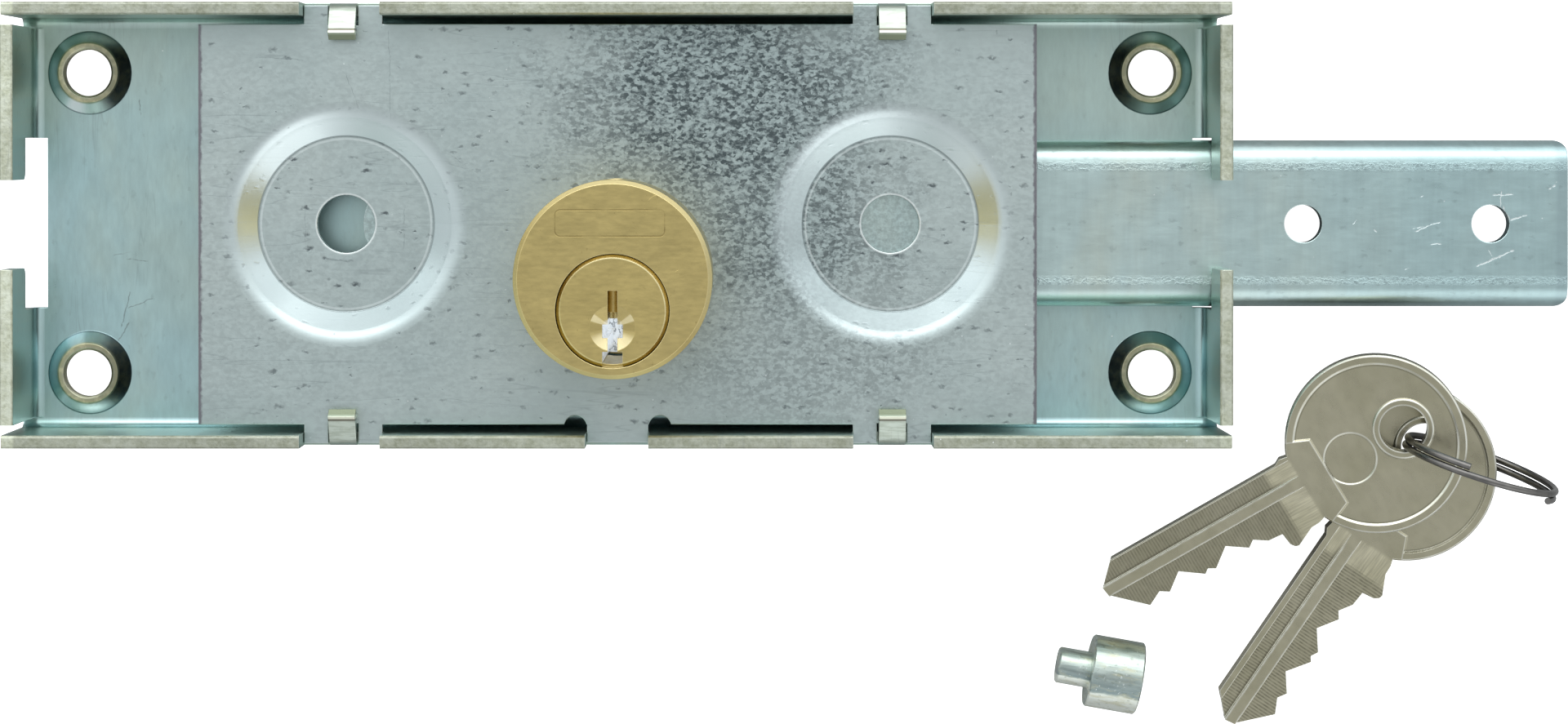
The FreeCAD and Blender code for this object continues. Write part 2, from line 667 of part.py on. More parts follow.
# Cylinder
def make_barrel():
    """The brass barrel, bored off centre for the plug, with five pin chambers."""
    body = post(0, BARREL_Y, cover_top, face - BARREL_CHAMFER, BARREL_DIAMETER)
    narrow = BARREL_DIAMETER - 2 * BARREL_CHAMFER
    body = body.fuse(cone(0, BARREL_Y, face - BARREL_CHAMFER, face, BARREL_DIAMETER, narrow))
    seat = PLUG_HEAD_DIAMETER + 2 * PLUG_HEAD_CLEARANCE
    body = body.cut(post(0, PLUG_Y, cover_top, face, 2 * bore_radius))
    body = body.cut(post(0, PLUG_Y, face - PLUG_HEAD_HEIGHT, face, seat))
    for z in pin_levels:
        body = body.cut(Part.makeCylinder(chamber_radius, BARREL_DIAMETER, Vec(0, PLUG_Y, z), Vec(0, 1, 0)))
    for x in (-SCREW_X, SCREW_X):
        top = cover_under + SCREW_LENGTH + 2 * SCREW_CLEARANCE
        body = body.cut(post(x, SCREW_Y, cover_top, top, SCREW_SHANK + 2 * SCREW_CLEARANCE))
    return solid(body)


def keyway():
    """The slot for the blade: narrow, wide for the ridges, and wide again where it opens below."""
    thin = BLADE_THICKNESS / 2 + KEYWAY_CLEARANCE
    thick = KEY_THICKNESS / 2 + KEYWAY_CLEARANCE
    floor = face - keyway_depth - 2 * KEYWAY_CLEARANCE
    top = face + CUT
    ridge_low = RIDGE_LOW + key_to_plug - KEYWAY_CLEARANCE
    ridge_high = RIDGE_HIGH + key_to_plug + KEYWAY_CLEARANCE
    mouth = PLUG_Y - PLUG_HEAD_DIAMETER / 2 - CUT
    slot = box(-thin, thin, SPINE_Y, KEYWAY_TOP_Y, floor, top)
    slot = slot.fuse(box(-thick, thick, ridge_low, ridge_high, floor, top))
    return slot.fuse(box(-thick, thick, mouth, LIP_NOTCH_TOP, floor, top))


def make_plug():
    """The plug with its keyway, pin chambers, clip groove and the tail that carries the pinion."""
    body = post(0, PLUG_Y, plug_end, face, PLUG_DIAMETER)
    head_low = face - PLUG_HEAD_HEIGHT + PLUG_CLEARANCE
    body = body.fuse(post(0, PLUG_Y, head_low, face - PLUG_BEVEL, PLUG_HEAD_DIAMETER))
    bevel = PLUG_HEAD_DIAMETER - 2 * PLUG_BEVEL
    body = body.fuse(cone(0, PLUG_Y, face - PLUG_BEVEL, face, PLUG_HEAD_DIAMETER, bevel))
    body = body.fuse(post(0, PLUG_Y, pinion_top, plug_end, TAIL_COLLAR))
    body = body.fuse(flats_shaft(tail_end, pinion_top, 0))
    groove = post(0, PLUG_Y, clip_under - CLIP_GAP, clip_top + CLIP_GAP, PLUG_DIAMETER + 2 * CUT)
    groove = groove.cut(post(0, PLUG_Y, clip_under - CUT, clip_top + CUT, PLUG_DIAMETER - 2 * CLIP_GROOVE))
    body = body.cut(groove)
    low = pinion_under - PINION_CLIP_THICKNESS - 2 * CLIP_GAP
    groove = post(0, PLUG_Y, low, pinion_under, TAIL_SHAFT + 2 * CUT)
    groove = groove.cut(post(0, PLUG_Y, low, pinion_under, TAIL_SHAFT - 2 * PINION_CLIP_GROOVE))
    body = body.cut(groove)
    body = body.cut(keyway())
    sink = cone(0, COUNTERSINK_Y, face - COUNTERSINK_DEPTH, face, BLADE_THICKNESS, COUNTERSINK_DIAMETER)
    body = body.cut(sink)
    for z in pin_levels:
        start = Vec(0, chamber_floor, z)
        body = body.cut(Part.makeCylinder(chamber_radius, PLUG_DIAMETER, start, Vec(0, 1, 0)))
    return solid(body)


def snap_ring(outer, inner, opening, z0, z1, way):
    """A flat spring clip round the plug's axis, open on one side."""
    ring = post(0, PLUG_Y, z0, z1, outer).cut(post(0, PLUG_Y, z0, z1, inner))
    reach = PLUG_Y + way * outer
    low, high = sorted((PLUG_Y, reach))
    return ring.cut(box(-opening / 2, opening / 2, low, high, z0, z1))


def make_plug_clip():
    """The clip that holds the plug in the barrel."""
    inner = PLUG_DIAMETER - 2 * CLIP_GROOVE + 2 * CLIP_GAP
    return snap_ring(CLIP_DIAMETER, inner, CLIP_OPENING, clip_under, clip_top, -1)


def make_pinion_clip():
    """The clip that holds the pinion on the tail."""
    inner = TAIL_SHAFT - 2 * PINION_CLIP_GROOVE + 2 * CLIP_GAP
    top = pinion_under - CLIP_GAP
    return snap_ring(PINION_CLIP_DIAMETER, inner, PINION_CLIP_OPENING, top - PINION_CLIP_THICKNESS, top, 1)


def make_cylinder_screws():
    """The two screws that pull the barrel down on the cover, driven from below."""
    screws = []
    for x in (-SCREW_X, SCREW_X):
        under = cover_under - SCREW_HEAD_HEIGHT
        screw = post(x, SCREW_Y, under, cover_under, SCREW_HEAD)
        screw = screw.fuse(post(x, SCREW_Y, cover_under, cover_under + SCREW_LENGTH, SCREW_SHANK))
        reach = SCREW_HEAD / 2 + CUT
        slot = box(x - reach, x + reach, SCREW_Y - SCREW_SLOT / 2, SCREW_Y + SCREW_SLOT / 2,
                   under, under + SCREW_SLOT_DEPTH)
        screws.append(screw.cut(slot))
    return Part.makeCompound(screws)


# Pin stacks
def key_pin_lift(i):
    """How far the key's cut lifts a pin until its top is at the shear line."""
    return CUT_HEIGHTS[i] + key_to_plug - pin_rest


def make_key_pin(i):
    """A pin in the plug, dropped on the floor of its chamber as it is without a key."""
    z = pin_levels[i]
    shank_start = pin_rest + PIN_POINT
    shank_length = pin_top - key_pin_lift(i) - shank_start
    shank = Part.makeCylinder(pin_radius, shank_length, Vec(0, shank_start, z), Vec(0, 1, 0))
    point = Part.makeCone(PIN_POINT_DIAMETER / 2, pin_radius, PIN_POINT, Vec(0, pin_rest, z), Vec(0, 1, 0))
    return shank.fuse(point)


def make_driver_pin(i):
    """A driver pin in the barrel, just outside the plug."""
    return Part.makeCylinder(pin_radius, DRIVER_LENGTH, Vec(0, driver_start, pin_levels[i]), Vec(0, 1, 0))


def make_bore_plugs():
    """The five brass plugs that close the pin chambers."""
    radius = chamber_radius - BORE_PLUG_CLEARANCE
    plugs = []
    for z in pin_levels:
        start = Vec(0, bore_plug_bottom, z)
        plugs.append(Part.makeCylinder(radius, BORE_PLUG_LENGTH, start, Vec(0, 1, 0)))
    return Part.makeCompound(plugs)


# Wound wire
def biarc(start, start_way, end, end_way):
    """Two arcs that leave start and reach end in the given directions."""
    span = end - start
    ways = start_way + end_way
    spare = 2 * (1 - start_way.dot(end_way))
    reach = (math.sqrt(span.dot(ways) ** 2 + spare * span.dot(span)) - span.dot(ways)) / spare
    first = start + start_way * reach
    second = end - end_way * reach
    middle = (first + second) * 0.5
    pieces = []
    for a, corner, b in ((start, first, middle), (middle, second, end)):
        half = (b - a).Length / 2
        turn = 2 * math.acos(min(half / (corner - a).Length, 1))
        centre = (a + b) * 0.5
        way = corner - centre
        way.normalize()
        pieces.append(Part.Arc(a, centre + way * (half * math.tan(turn / 4)), b).toShape())
    return pieces


def coil(radius, pitch, start, end, wire, name):
    """A wire wound about Z from start to end in degrees, mid-height at z = 0. Prints its least gap."""
    middle = (start + end) / 2

    def at(angle):
        turn = math.radians(angle)
        rise = pitch * (angle - middle) / FULL_TURN_ANGLE
        return Vec(radius * math.cos(turn), radius * math.sin(turn), rise)

    def way(angle):
        turn = math.radians(angle)
        tangent = Vec(-math.sin(turn), math.cos(turn), pitch / (2 * math.pi * radius))
        tangent.normalize()
        return tangent

    steps = max(round((end - start) / (FULL_TURN_ANGLE / 4)), 1)
    stops = [start + (end - start) * i / steps for i in range(steps + 1)]
    edges = []
    for a, b in zip(stops, stops[1:]):
        edges += biarc(at(a), way(a), at(b), way(b))
    path = Part.Wire(edges)
    section = Part.Wire([Part.makeCircle(wire / 2, at(start), way(start))])
    tube = path.makePipeShell([section], True, False)
    steps = 720
    samples = [at(start + (end - start) * i / steps) for i in range(steps + 1)]
    apart = round(steps * FULL_TURN_ANGLE / 2 / (end - start))
    near = min((a - b).Length for i, a in enumerate(samples) for b in samples[i + apart:])
    print(f"{name}: least gap between turns {near - wire:.2f} mm, tube volume {tube.Volume:.3f} mm3, "
          f"section times length {math.pi * wire ** 2 / 4 * path.Length:.3f} mm3")
    return tube


def make_driver_spring(i):
    """The spring between a driver pin and its bore plug."""
    length = bore_plug_bottom - driver_end - SPRING_WIRE - 2 * SPRING_GAP
    pitch = length / SPRING_TURNS
    radius = (SPRING_DIAMETER - SPRING_WIRE) / 2
    spring = coil(radius, pitch, 0, FULL_TURN_ANGLE * SPRING_TURNS, SPRING_WIRE, f"spring {i + 1}")
    spring.rotate(ORIGIN, Vec(1, 0, 0), -90)
    spring.translate(Vec(0, (driver_end + bore_plug_bottom) / 2, pin_levels[i]))
    return spring


# Keys
def blade_outline():
    """The key's edge from the spine round the tip and the cuts to the stop lug."""
    nose = (BLADE_TIP - TIP_NOSE_BACK, TIP_NOSE_HIGH)
    edge = [(BLADE_TIP - TIP_BEVEL, BLADE_SPINE), (BLADE_TIP, TIP_NOSE_LOW), nose]
    for i in reversed(range(len(CUT_HEIGHTS))):
        pin = KEY_STOP + FIRST_PIN + PIN_PITCH * i
        past, height = PEAKS_PAST_PINS[i]
        edge += [(pin + past, height), (pin, CUT_HEIGHTS[i])]
    edge.append((KEY_STOP + FIRST_PIN + FIRST_PEAK[0], FIRST_PEAK[1]))
    edge += [(KEY_STOP + u, v) for u, v in STOP_LUG]
    edge += [(KEY_STOP + u, BLADE_SPINE + v) for u, v in SPINE_LUG]
    return [Vec(u, v, 0) for u, v in edge]


def mill(v0, v1):
    """The groove milled in both faces of the blade between v0 and v1, running out at the neck."""
    depth = (KEY_THICKNESS - BLADE_THICKNESS) / 2
    end = BLADE_TIP + CUT
    start = MILL_END - MILL_RUNOUT
    side = [Vec(end, v0, depth), Vec(end, v0, 0), Vec(start, v0, 0), Vec(MILL_END, v0, depth)]
    lower = polygon(side, Vec(0, v1 - v0, 0))
    return lower.fuse(lower.mirror(Vec(0, 0, KEY_THICKNESS / 2), UP))


def raised_pad(z_face, z_web):
    """The pad between head and blade, wider at the web than at the face."""
    def outline(grow, z):
        side = [
            (PAD_END - grow, PAD_END_HALF + grow / 2), (PAD_ROOT - grow / 2, PAD_ROOT_HALF + grow),
            (HEAD_DIAMETER, PAD_ROOT_HALF + grow),
        ]
        corners = [Vec(u, v, z) for u, v in side] + [Vec(u, -v, z) for u, v in reversed(side)]
        return Part.Wire(lines(corners + corners[:1]))
    return Part.makeLoft([outline(0, z_face), outline(COIN_SLOPE, z_web)], True, True)


def make_flat_key(lip):
    """One key lying flat: u = x from the head's centre along the blade, v = y towards the cuts."""
    head = HEAD_DIAMETER / 2
    narrow = head - HEAD_EDGE
    high_edge = KEY_THICKNESS - HEAD_EDGE
    profile = [(0, 0), (narrow, 0), (head, HEAD_EDGE)]
    profile += [(head, high_edge), (narrow, KEY_THICKNESS), (0, KEY_THICKNESS)]
    body = turned(profile, (0, 0)).fuse(polygon(blade_outline(), Vec(0, 0, KEY_THICKNESS)))
    body = body.cut(mill(BLADE_SPINE + lip, RIDGE_LOW)).cut(mill(RIDGE_HIGH, HEAD_DIAMETER / 2))
    rim = HEAD_DIAMETER - 2 * HEAD_RIM
    rim_foot = rim - 2 * COIN_SLOPE
    ring_rim = RING_HOLE + 2 * RING_HOLE_RIM
    ring_foot = ring_rim + 2 * COIN_SLOPE
    web = KEY_THICKNESS - HEAD_RIM_HEIGHT
    upper = cone(0, 0, web, KEY_THICKNESS, rim_foot, rim).cut(raised_pad(KEY_THICKNESS, web))
    upper = upper.cut(cone(-RING_HOLE_BACK, 0, web, KEY_THICKNESS, ring_foot, ring_rim))
    lower = upper.mirror(Vec(0, 0, KEY_THICKNESS / 2), UP)
    body = body.cut(upper).cut(lower)
    disc_foot = DISC_DIAMETER - 2 * DISC_SLOPE
    body = body.cut(cone(DISC_X, 0, web - DISC_DEPTH, web, disc_foot, DISC_DIAMETER))
    return solid(body.cut(post(-RING_HOLE_BACK, 0, 0, KEY_THICKNESS, RING_HOLE)))


def place_key(key, place, turn, tilt):
    """Lay a key down: its tip on the surface, its head raised, turned as in the picture."""
    key = key.copy()
    key.rotate(Vec(BLADE_TIP, 0, 0), Vec(0, 1, 0), tilt)
    key.translate(Vec(BLADE_TIP * (math.cos(math.radians(tilt)) - 1), 0, 0))
    key.rotate(ORIGIN, UP, turn)
    key.translate(Vec(*place, 0))
    return key


def make_key_ring():
    """The two-turn wire ring, standing on its edge and leaning a little."""
    ring = coil(RING_RADIUS, RING_PITCH, RING_START_ANGLE, RING_END_ANGLE, WIRE, "key ring")
    ring.rotate(ORIGIN, Vec(1, 0, 0), RING_LEAN_ANGLE)
    ring.rotate(ORIGIN, UP, RING_TURN_ANGLE)
    low = ring.optimalBoundingBox(False).ZMin
    ring.translate(Vec(RING_X, RING_Y, RING_LIFT - low))
    return ring


def make_coupling_stud():
    """The loose stepped stud, lying on its head's side."""
    chamfer = STUD_CHAMFER
    length = STUD_HEAD_LENGTH + STUD_SHANK_LENGTH
    profile = [
        (0, 0), (STUD_HEAD / 2 - chamfer, 0), (STUD_HEAD / 2, chamfer),
        (STUD_HEAD / 2, STUD_HEAD_LENGTH - chamfer), (STUD_HEAD / 2 - chamfer, STUD_HEAD_LENGTH),
        (STUD_SHANK / 2, STUD_HEAD_LENGTH), (STUD_SHANK / 2, length - chamfer),
        (STUD_SHANK / 2 - chamfer, length), (0, length),
    ]
    stud = turned(profile, (0, 0))
    stud.translate(Vec(0, 0, -STUD_HEAD_LENGTH / 2))
    stud.rotate(ORIGIN, Vec(0, 1, 0), 90)
    stud.rotate(ORIGIN, UP, STUD_TURN_ANGLE)
    stud.translate(Vec(STUD_X, STUD_Y, STUD_HEAD / 2))
    return stud


# Save every piece


def save(name, shape):
    """Write one node and say how large it is."""
    shape.exportStep(f"parts/{name}.step")
    bounds = shape.optimalBoundingBox(False)
    print(f"{name}: {len(shape.Solids)} solid(s), valid {shape.isValid()}, volume {shape.Volume:.2f}, "
          f"x {bounds.XMin:.2f} {bounds.XMax:.2f}, y {bounds.YMin:.2f} {bounds.YMax:.2f}, "
          f"z {bounds.ZMin:.2f} {bounds.ZMax:.2f}")


os.makedirs("parts", exist_ok=True)
save("case", make_case())
save("cover_plate", make_cover())
save("bolt", make_bolt())
save("bolt_rack", make_rack())
save("rack_rivets", make_rack_rivets())
save("guide_stud", make_guide_stud())
save("drive_pinion", make_pinion())
save("pinion_clip", make_pinion_clip())
save("cylinder_body", make_barrel())
save("cylinder_screws", make_cylinder_screws())
save("plug", make_plug())
save("plug_clip", make_plug_clip())
save("bore_plugs", make_bore_plugs())
for pin in range(len(CUT_HEIGHTS)):
    save(f"key_pin_{pin + 1}", make_key_pin(pin))
    save(f"driver_pin_{pin + 1}", make_driver_pin(pin))
    save(f"driver_spring_{pin + 1}", make_driver_spring(pin))
for i, (lip, place, turn, tilt) in enumerate(zip(LIP_WIDTHS, KEY_PLACES, KEY_TURN_ANGLES, KEY_TILT_ANGLES)):
    save(f"key_{i + 1}", place_key(make_flat_key(lip), place, turn, tilt))
save("key_ring", make_key_ring())
save("coupling_stud", make_coupling_stud())
print(f"bolt travel {bolt_travel:.2f} mm for one turn of the plug")
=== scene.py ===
"""Roller shutter lock, its two keys on a ring, and its loose stud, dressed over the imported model."""
import math

import bpy
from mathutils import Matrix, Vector


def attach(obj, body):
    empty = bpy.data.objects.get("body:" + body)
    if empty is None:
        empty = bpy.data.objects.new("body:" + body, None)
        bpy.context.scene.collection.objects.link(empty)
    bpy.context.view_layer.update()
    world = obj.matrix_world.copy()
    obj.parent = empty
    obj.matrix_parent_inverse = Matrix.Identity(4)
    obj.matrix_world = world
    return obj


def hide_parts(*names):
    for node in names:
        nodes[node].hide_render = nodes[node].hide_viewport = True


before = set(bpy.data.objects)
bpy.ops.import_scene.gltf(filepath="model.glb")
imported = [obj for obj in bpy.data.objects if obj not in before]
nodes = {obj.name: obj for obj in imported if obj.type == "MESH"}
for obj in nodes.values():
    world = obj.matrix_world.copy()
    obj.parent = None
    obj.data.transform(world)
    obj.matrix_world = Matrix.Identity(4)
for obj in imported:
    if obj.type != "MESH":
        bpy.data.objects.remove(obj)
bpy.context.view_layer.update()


# Where it lies: a pale table in a white room. Broad soft lights stand round the table, and the camera
# hangs about half a metre over the lock, a little above its middle.
def put(tree, kind, ins=None, **settings):
    """Add a node, set what it needs, and join or fill its sockets."""
    node = tree.nodes.new(kind)
    for key, value in settings.items():
        setattr(node, key, value)
    for key, value in (ins or {}).items():
        socket = node.inputs[key]
        if isinstance(value, bpy.types.NodeSocket):
            tree.links.new(value, socket)
        else:
            socket.default_value = value
    return node


def maths(tree, what, a, b=0.0):
    """One sum on two values."""
    return put(tree, "ShaderNodeMath", {0: a, 1: b}, operation=what).outputs[0]


def vector(tree, what, a, *b):
    """One sum on vectors: it gives a vector, or a number where it measures."""
    node = put(tree, "ShaderNodeVectorMath", dict(enumerate((a, *b))), operation=what)
    return node.outputs["Value" if what in ("LENGTH", "DOT_PRODUCT") else "Vector"]


def mix(tree, share, a, b, how="MIX"):
    """Two colours mixed."""
    node = put(tree, "ShaderNodeMix", {0: share, 6: a, 7: b}, data_type="RGBA", blend_type=how)
    return node.outputs[2]


bpy.ops.object.select_all(action="DESELECT")
scene = bpy.context.scene
scene.view_settings.view_transform = "Standard"

room = bpy.data.worlds.new("white_room")
scene.world = room
room.use_nodes = True
sky = room.node_tree
sky.nodes.clear()
where = put(sky, "ShaderNodeTexCoord").outputs["Generated"]
even_light = 0.60
brighter_walls = (((0, 1, 0.15), 0.18, 0.55, 0.80), ((0.7, -0.7, 0.1), 0.35, 0.85, 0.30),
                  ((-1, 0, 0.1), 0.30, 0.80, 0.25))
light = even_light
for way, start, full, gain in brighter_walls:
    facing = vector(sky, "DOT_PRODUCT", where, way)
    lobe = put(sky, "ShaderNodeMapRange", {"Value": facing, "From Min": start, "From Max": full,
                                           "To Max": gain}, interpolation_type="SMOOTHSTEP").outputs[0]
    light = maths(sky, "ADD", light, lobe)
room_tint = (0.95, 0.985, 1.0, 1)
glow = put(sky, "ShaderNodeBackground", {"Color": room_tint, "Strength": light})
put(sky, "ShaderNodeOutputWorld", {"Surface": glow.outputs[0]})

bpy.ops.mesh.primitive_plane_add(size=3.0, location=(0.02, -0.02, -0.0002))
table = bpy.context.object
table.name = "table_top"
pale = bpy.data.materials.new("pale_table")
pale.use_nodes = True
paper = pale.node_tree
paint = paper.nodes["Principled BSDF"]
seen = put(paper, "ShaderNodeLightPath").outputs["Is Camera Ray"]
in_reflections, to_the_eye = (0.42, 0.42, 0.42, 1), (0.9, 0.9, 0.9, 1)
paper.links.new(mix(paper, seen, in_reflections, to_the_eye), paint.inputs["Base Color"])
paint.inputs["Roughness"].default_value = 0.9
paint.inputs["Specular IOR Level"].default_value = 0.0
paper.links.new(mix(paper, seen, (0, 0, 0, 1), (1, 1, 1, 1)), paint.inputs["Emission Color"])
paint.inputs["Emission Strength"].default_value = 1.0
table.data.materials.append(pale)


def softbox(name, place, aim, size, watts):
    """A broad soft light that faces a point."""
    panel = bpy.data.lights.new(name, "AREA")
    panel.shape = "RECTANGLE"
    panel.size, panel.size_y = size
    panel.energy = watts
    lamp = bpy.data.objects.new(name, panel)
    lamp.location = place
    lamp.rotation_euler = (Vector(aim) - Vector(place)).to_track_quat("-Z", "Y").to_euler()
    scene.collection.objects.link(lamp)


softbox("far_light", (0.0, 0.75, 0.6), (0, 0, 0), (1.1, 0.5), 2.5)
softbox("near_light", (0.4, -0.7, 0.5), (0, 0, 0), (0.8, 0.5), 0.7)

photo_width = 1920
focal_pixels = 4581
pixels_right, pixels_up = 61.6, -245.4
lens = bpy.data.cameras.new("camera")
lens.sensor_width = 36
lens.lens = focal_pixels / photo_width * lens.sensor_width
lens.shift_x = pixels_right / photo_width
lens.shift_y = pixels_up / photo_width
lens.clip_start = 0.01
camera = bpy.data.objects.new("camera", lens)
camera.location = (0.01426, 0.00936, 0.47101)
camera.rotation_euler = (math.radians(-0.207), 0, 0)
scene.collection.objects.link(camera)
scene.camera = camera


# Case: one steel sheet bent into a tray and zinc plated, with a thin yellow-blue film.
# The cut edges are left as the shears made them, and the four holes are pressed up from below.
def new_finish(name):
    """A material with its tree, its shader, and the point in millimetres."""
    material = bpy.data.materials.new(name)
    material.use_nodes = True
    tree = material.node_tree
    shader = tree.nodes["Principled BSDF"]
    shader.inputs["Metallic"].default_value = 1.0
    point = put(tree, "ShaderNodeTexCoord").outputs["Object"]
    point = put(tree, "ShaderNodeMapping", {"Vector": point, "Scale": (1000, 1000, 1000)}).outputs[0]
    return material, tree, shader, point


def noise(tree, point, scale, detail=3.0, stretch=(1, 1, 1), turn=0.0, rough=0.55):
    """Cloudy grey noise over the surface."""
    bent = put(tree, "ShaderNodeMapping", {"Vector": point, "Scale": stretch, "Rotation": (0, 0, turn)})
    return put(tree, "ShaderNodeTexNoise", {"Vector": bent.outputs[0], "Scale": scale, "Detail": detail,
                                            "Roughness": rough}).outputs["Fac"]


def band(tree, value, low, high, start=0.0, stop=1.0):
    """A value spread between two limits, clamped."""
    return put(tree, "ShaderNodeMapRange", {"Value": value, "From Min": low, "From Max": high,
                                            "To Min": start, "To Max": stop}).outputs[0]


def times(tree, *values):
    """All the values multiplied."""
    result = values[0]
    for value in values[1:]:
        result = maths(tree, "MULTIPLY", result, value)
    return result


def between(tree, value, low, high, soft):
    """One between two limits and nothing outside them, with soft ends."""
    return times(tree, band(tree, value, low - soft, low), band(tree, value, high, high + soft, 1.0, 0.0))


def tinted(tree, colour, level):
    """A colour made lighter or darker by a level round one."""
    grey = put(tree, "ShaderNodeCombineColor", {0: level, 1: level, 2: level}).outputs[0]
    return mix(tree, 1.0, colour, grey, "MULTIPLY")


def split(tree, whole):
    """The three parts of a vector."""
    parts = put(tree, "ShaderNodeSeparateXYZ", {0: whole})
    return parts.outputs[0], parts.outputs[1], parts.outputs[2]


def from_place(tree, point, x, y):
    """The way and the distance from a place on the plan."""
    way = put(tree, "ShaderNodeMapping", {"Vector": point, "Location": (-x, -y, 0), "Scale": (1, 1, 0)})
    way = way.outputs[0]
    return way, vector(tree, "LENGTH", way)


def edge_highlight_group():
    """One along the sharp edges, inner and outer alike, where a bright line is painted as a highlight."""
    group = bpy.data.node_groups.new("edge_highlight", "ShaderNodeTree")
    for name in ("Radius", "Low", "High"):
        group.interface.new_socket(name, in_out="INPUT", socket_type="NodeSocketFloat")
    group.interface.new_socket("Highlight", in_out="OUTPUT", socket_type="NodeSocketFloat")
    given = put(group, "NodeGroupInput").outputs
    soft = put(group, "ShaderNodeBevel", {"Radius": given["Radius"]}, samples=8).outputs[0]
    own = put(group, "ShaderNodeNewGeometry").outputs["Normal"]
    near = vector(group, "DOT_PRODUCT", soft, own)
    put(group, "NodeGroupOutput", {"Highlight": band(group, near, given["Low"], given["High"])})
    return group


edge_highlight = edge_highlight_group()


def edges(tree, radius, low=0.99, high=0.90):
    """The painted edge highlight in one material, its width in millimetres."""
    wear_and_highlight = put(tree, "ShaderNodeGroup", {"Radius": radius / 1000, "Low": low, "High": high},
               node_tree=edge_highlight)
    return wear_and_highlight.outputs["Highlight"]


def bump(tree, shader, height, distance, strength=1.0, rounding=0.0):
    """Relief for the shader, in millimetres, with softened edges."""
    relief = {"Height": height, "Distance": distance / 1000, "Strength": strength}
    if rounding:
        relief["Normal"] = put(tree, "ShaderNodeBevel", {"Radius": rounding / 1000}, samples=8).outputs[0]
    tree.links.new(put(tree, "ShaderNodeBump", relief).outputs[0], shader.inputs["Normal"])


def rolled_sheet_group():
    """Marks that all the zinc sheet has: rolling lines, dark pits, pale nicks and thin scratches."""
    group = bpy.data.node_groups.new("rolled_sheet", "ShaderNodeTree")
    for name, kind in (("Point", "Vector"), ("Pits", "Float"), ("Scratches", "Float"), ("Flecks", "Float")):
        group.interface.new_socket(name, in_out="INPUT", socket_type=f"NodeSocket{kind}")
    for name in ("Grain", "Pits", "Scratches", "Flecks", "Height"):
        group.interface.new_socket(name, in_out="OUTPUT", socket_type="NodeSocketFloat")
    given = put(group, "NodeGroupInput")
    point = given.outputs["Point"]
    lines = noise(group, point, 1.0, 5, (0.5, 1.9, 0.5), 0, 0.65)
    cloud = noise(group, point, 0.35, 3, (0.6, 1.2, 1))
    grain = maths(group, "ADD", times(group, lines, 0.5), times(group, cloud, 0.5))
    ragged = put(group, "ShaderNodeTexNoise", {"Vector": point, "Scale": 1.8, "Detail": 3}).outputs["Color"]
    torn = vector(group, "ADD", point, vector(group, "MULTIPLY", ragged, (0.9, 0.9, 0.9)))
    long = put(group, "ShaderNodeMapping", {"Vector": torn, "Scale": (0.55, 1.2, 1)}).outputs[0]
    cells = put(group, "ShaderNodeTexVoronoi", {"Vector": long, "Scale": 0.95, "Randomness": 1.0})
    size = put(group, "ShaderNodeSeparateColor", {0: cells.outputs["Color"]})
    crowd = band(group, noise(group, point, 0.11, 3, (1, 1, 1), 0.7), 0.38, 0.62, 0.12, 0.80)
    chosen = maths(group, "LESS_THAN", size.outputs[0], crowd)
    reach = band(group, size.outputs[1], 0.0, 1.0, 0.08, 0.42)
    spot = band(group, maths(group, "DIVIDE", cells.outputs["Distance"], reach), 0.35, 1.0, 1.0, 0.0)
    pits = times(group, spot, chosen, band(group, size.outputs[2], 0, 1, 0.45, 1.0), given.outputs["Pits"])
    dots = put(group, "ShaderNodeTexVoronoi", {"Vector": point, "Scale": 0.5, "Randomness": 1.0})
    bright = put(group, "ShaderNodeSeparateColor", {0: dots.outputs["Color"]}).outputs[0]
    flecks = times(group, band(group, dots.outputs["Distance"], 0.02, 0.06, 1.0, 0.0),
                   maths(group, "LESS_THAN", bright, 0.22), given.outputs["Flecks"])
    hairs = 0.0
    for turn, scale in ((0.4, 0.035), (1.7, 0.05), (2.7, 0.028), (1.1, 0.04)):
        wavy = noise(group, point, 1.0, 2, (scale * 0.6, scale * 9, scale), turn)
        off = maths(group, "ABSOLUTE", maths(group, "SUBTRACT", wavy, 0.5))
        line = band(group, off, 0.0, 0.007, 1.0, 0.0)
        where = band(group, noise(group, point, 0.07, 2, (1, 1, 1), turn * 3), 0.55, 0.62)
        hairs = maths(group, "MAXIMUM", hairs, times(group, line, where))
    hairs = times(group, hairs, given.outputs["Scratches"])
    high = maths(group, "SUBTRACT", times(group, grain, 0.30), pits)
    put(group, "NodeGroupOutput", {"Grain": grain, "Pits": pits, "Scratches": hairs, "Flecks": flecks,
                                   "Height": maths(group, "SUBTRACT", high, times(group, hairs, 0.4))})
    return group


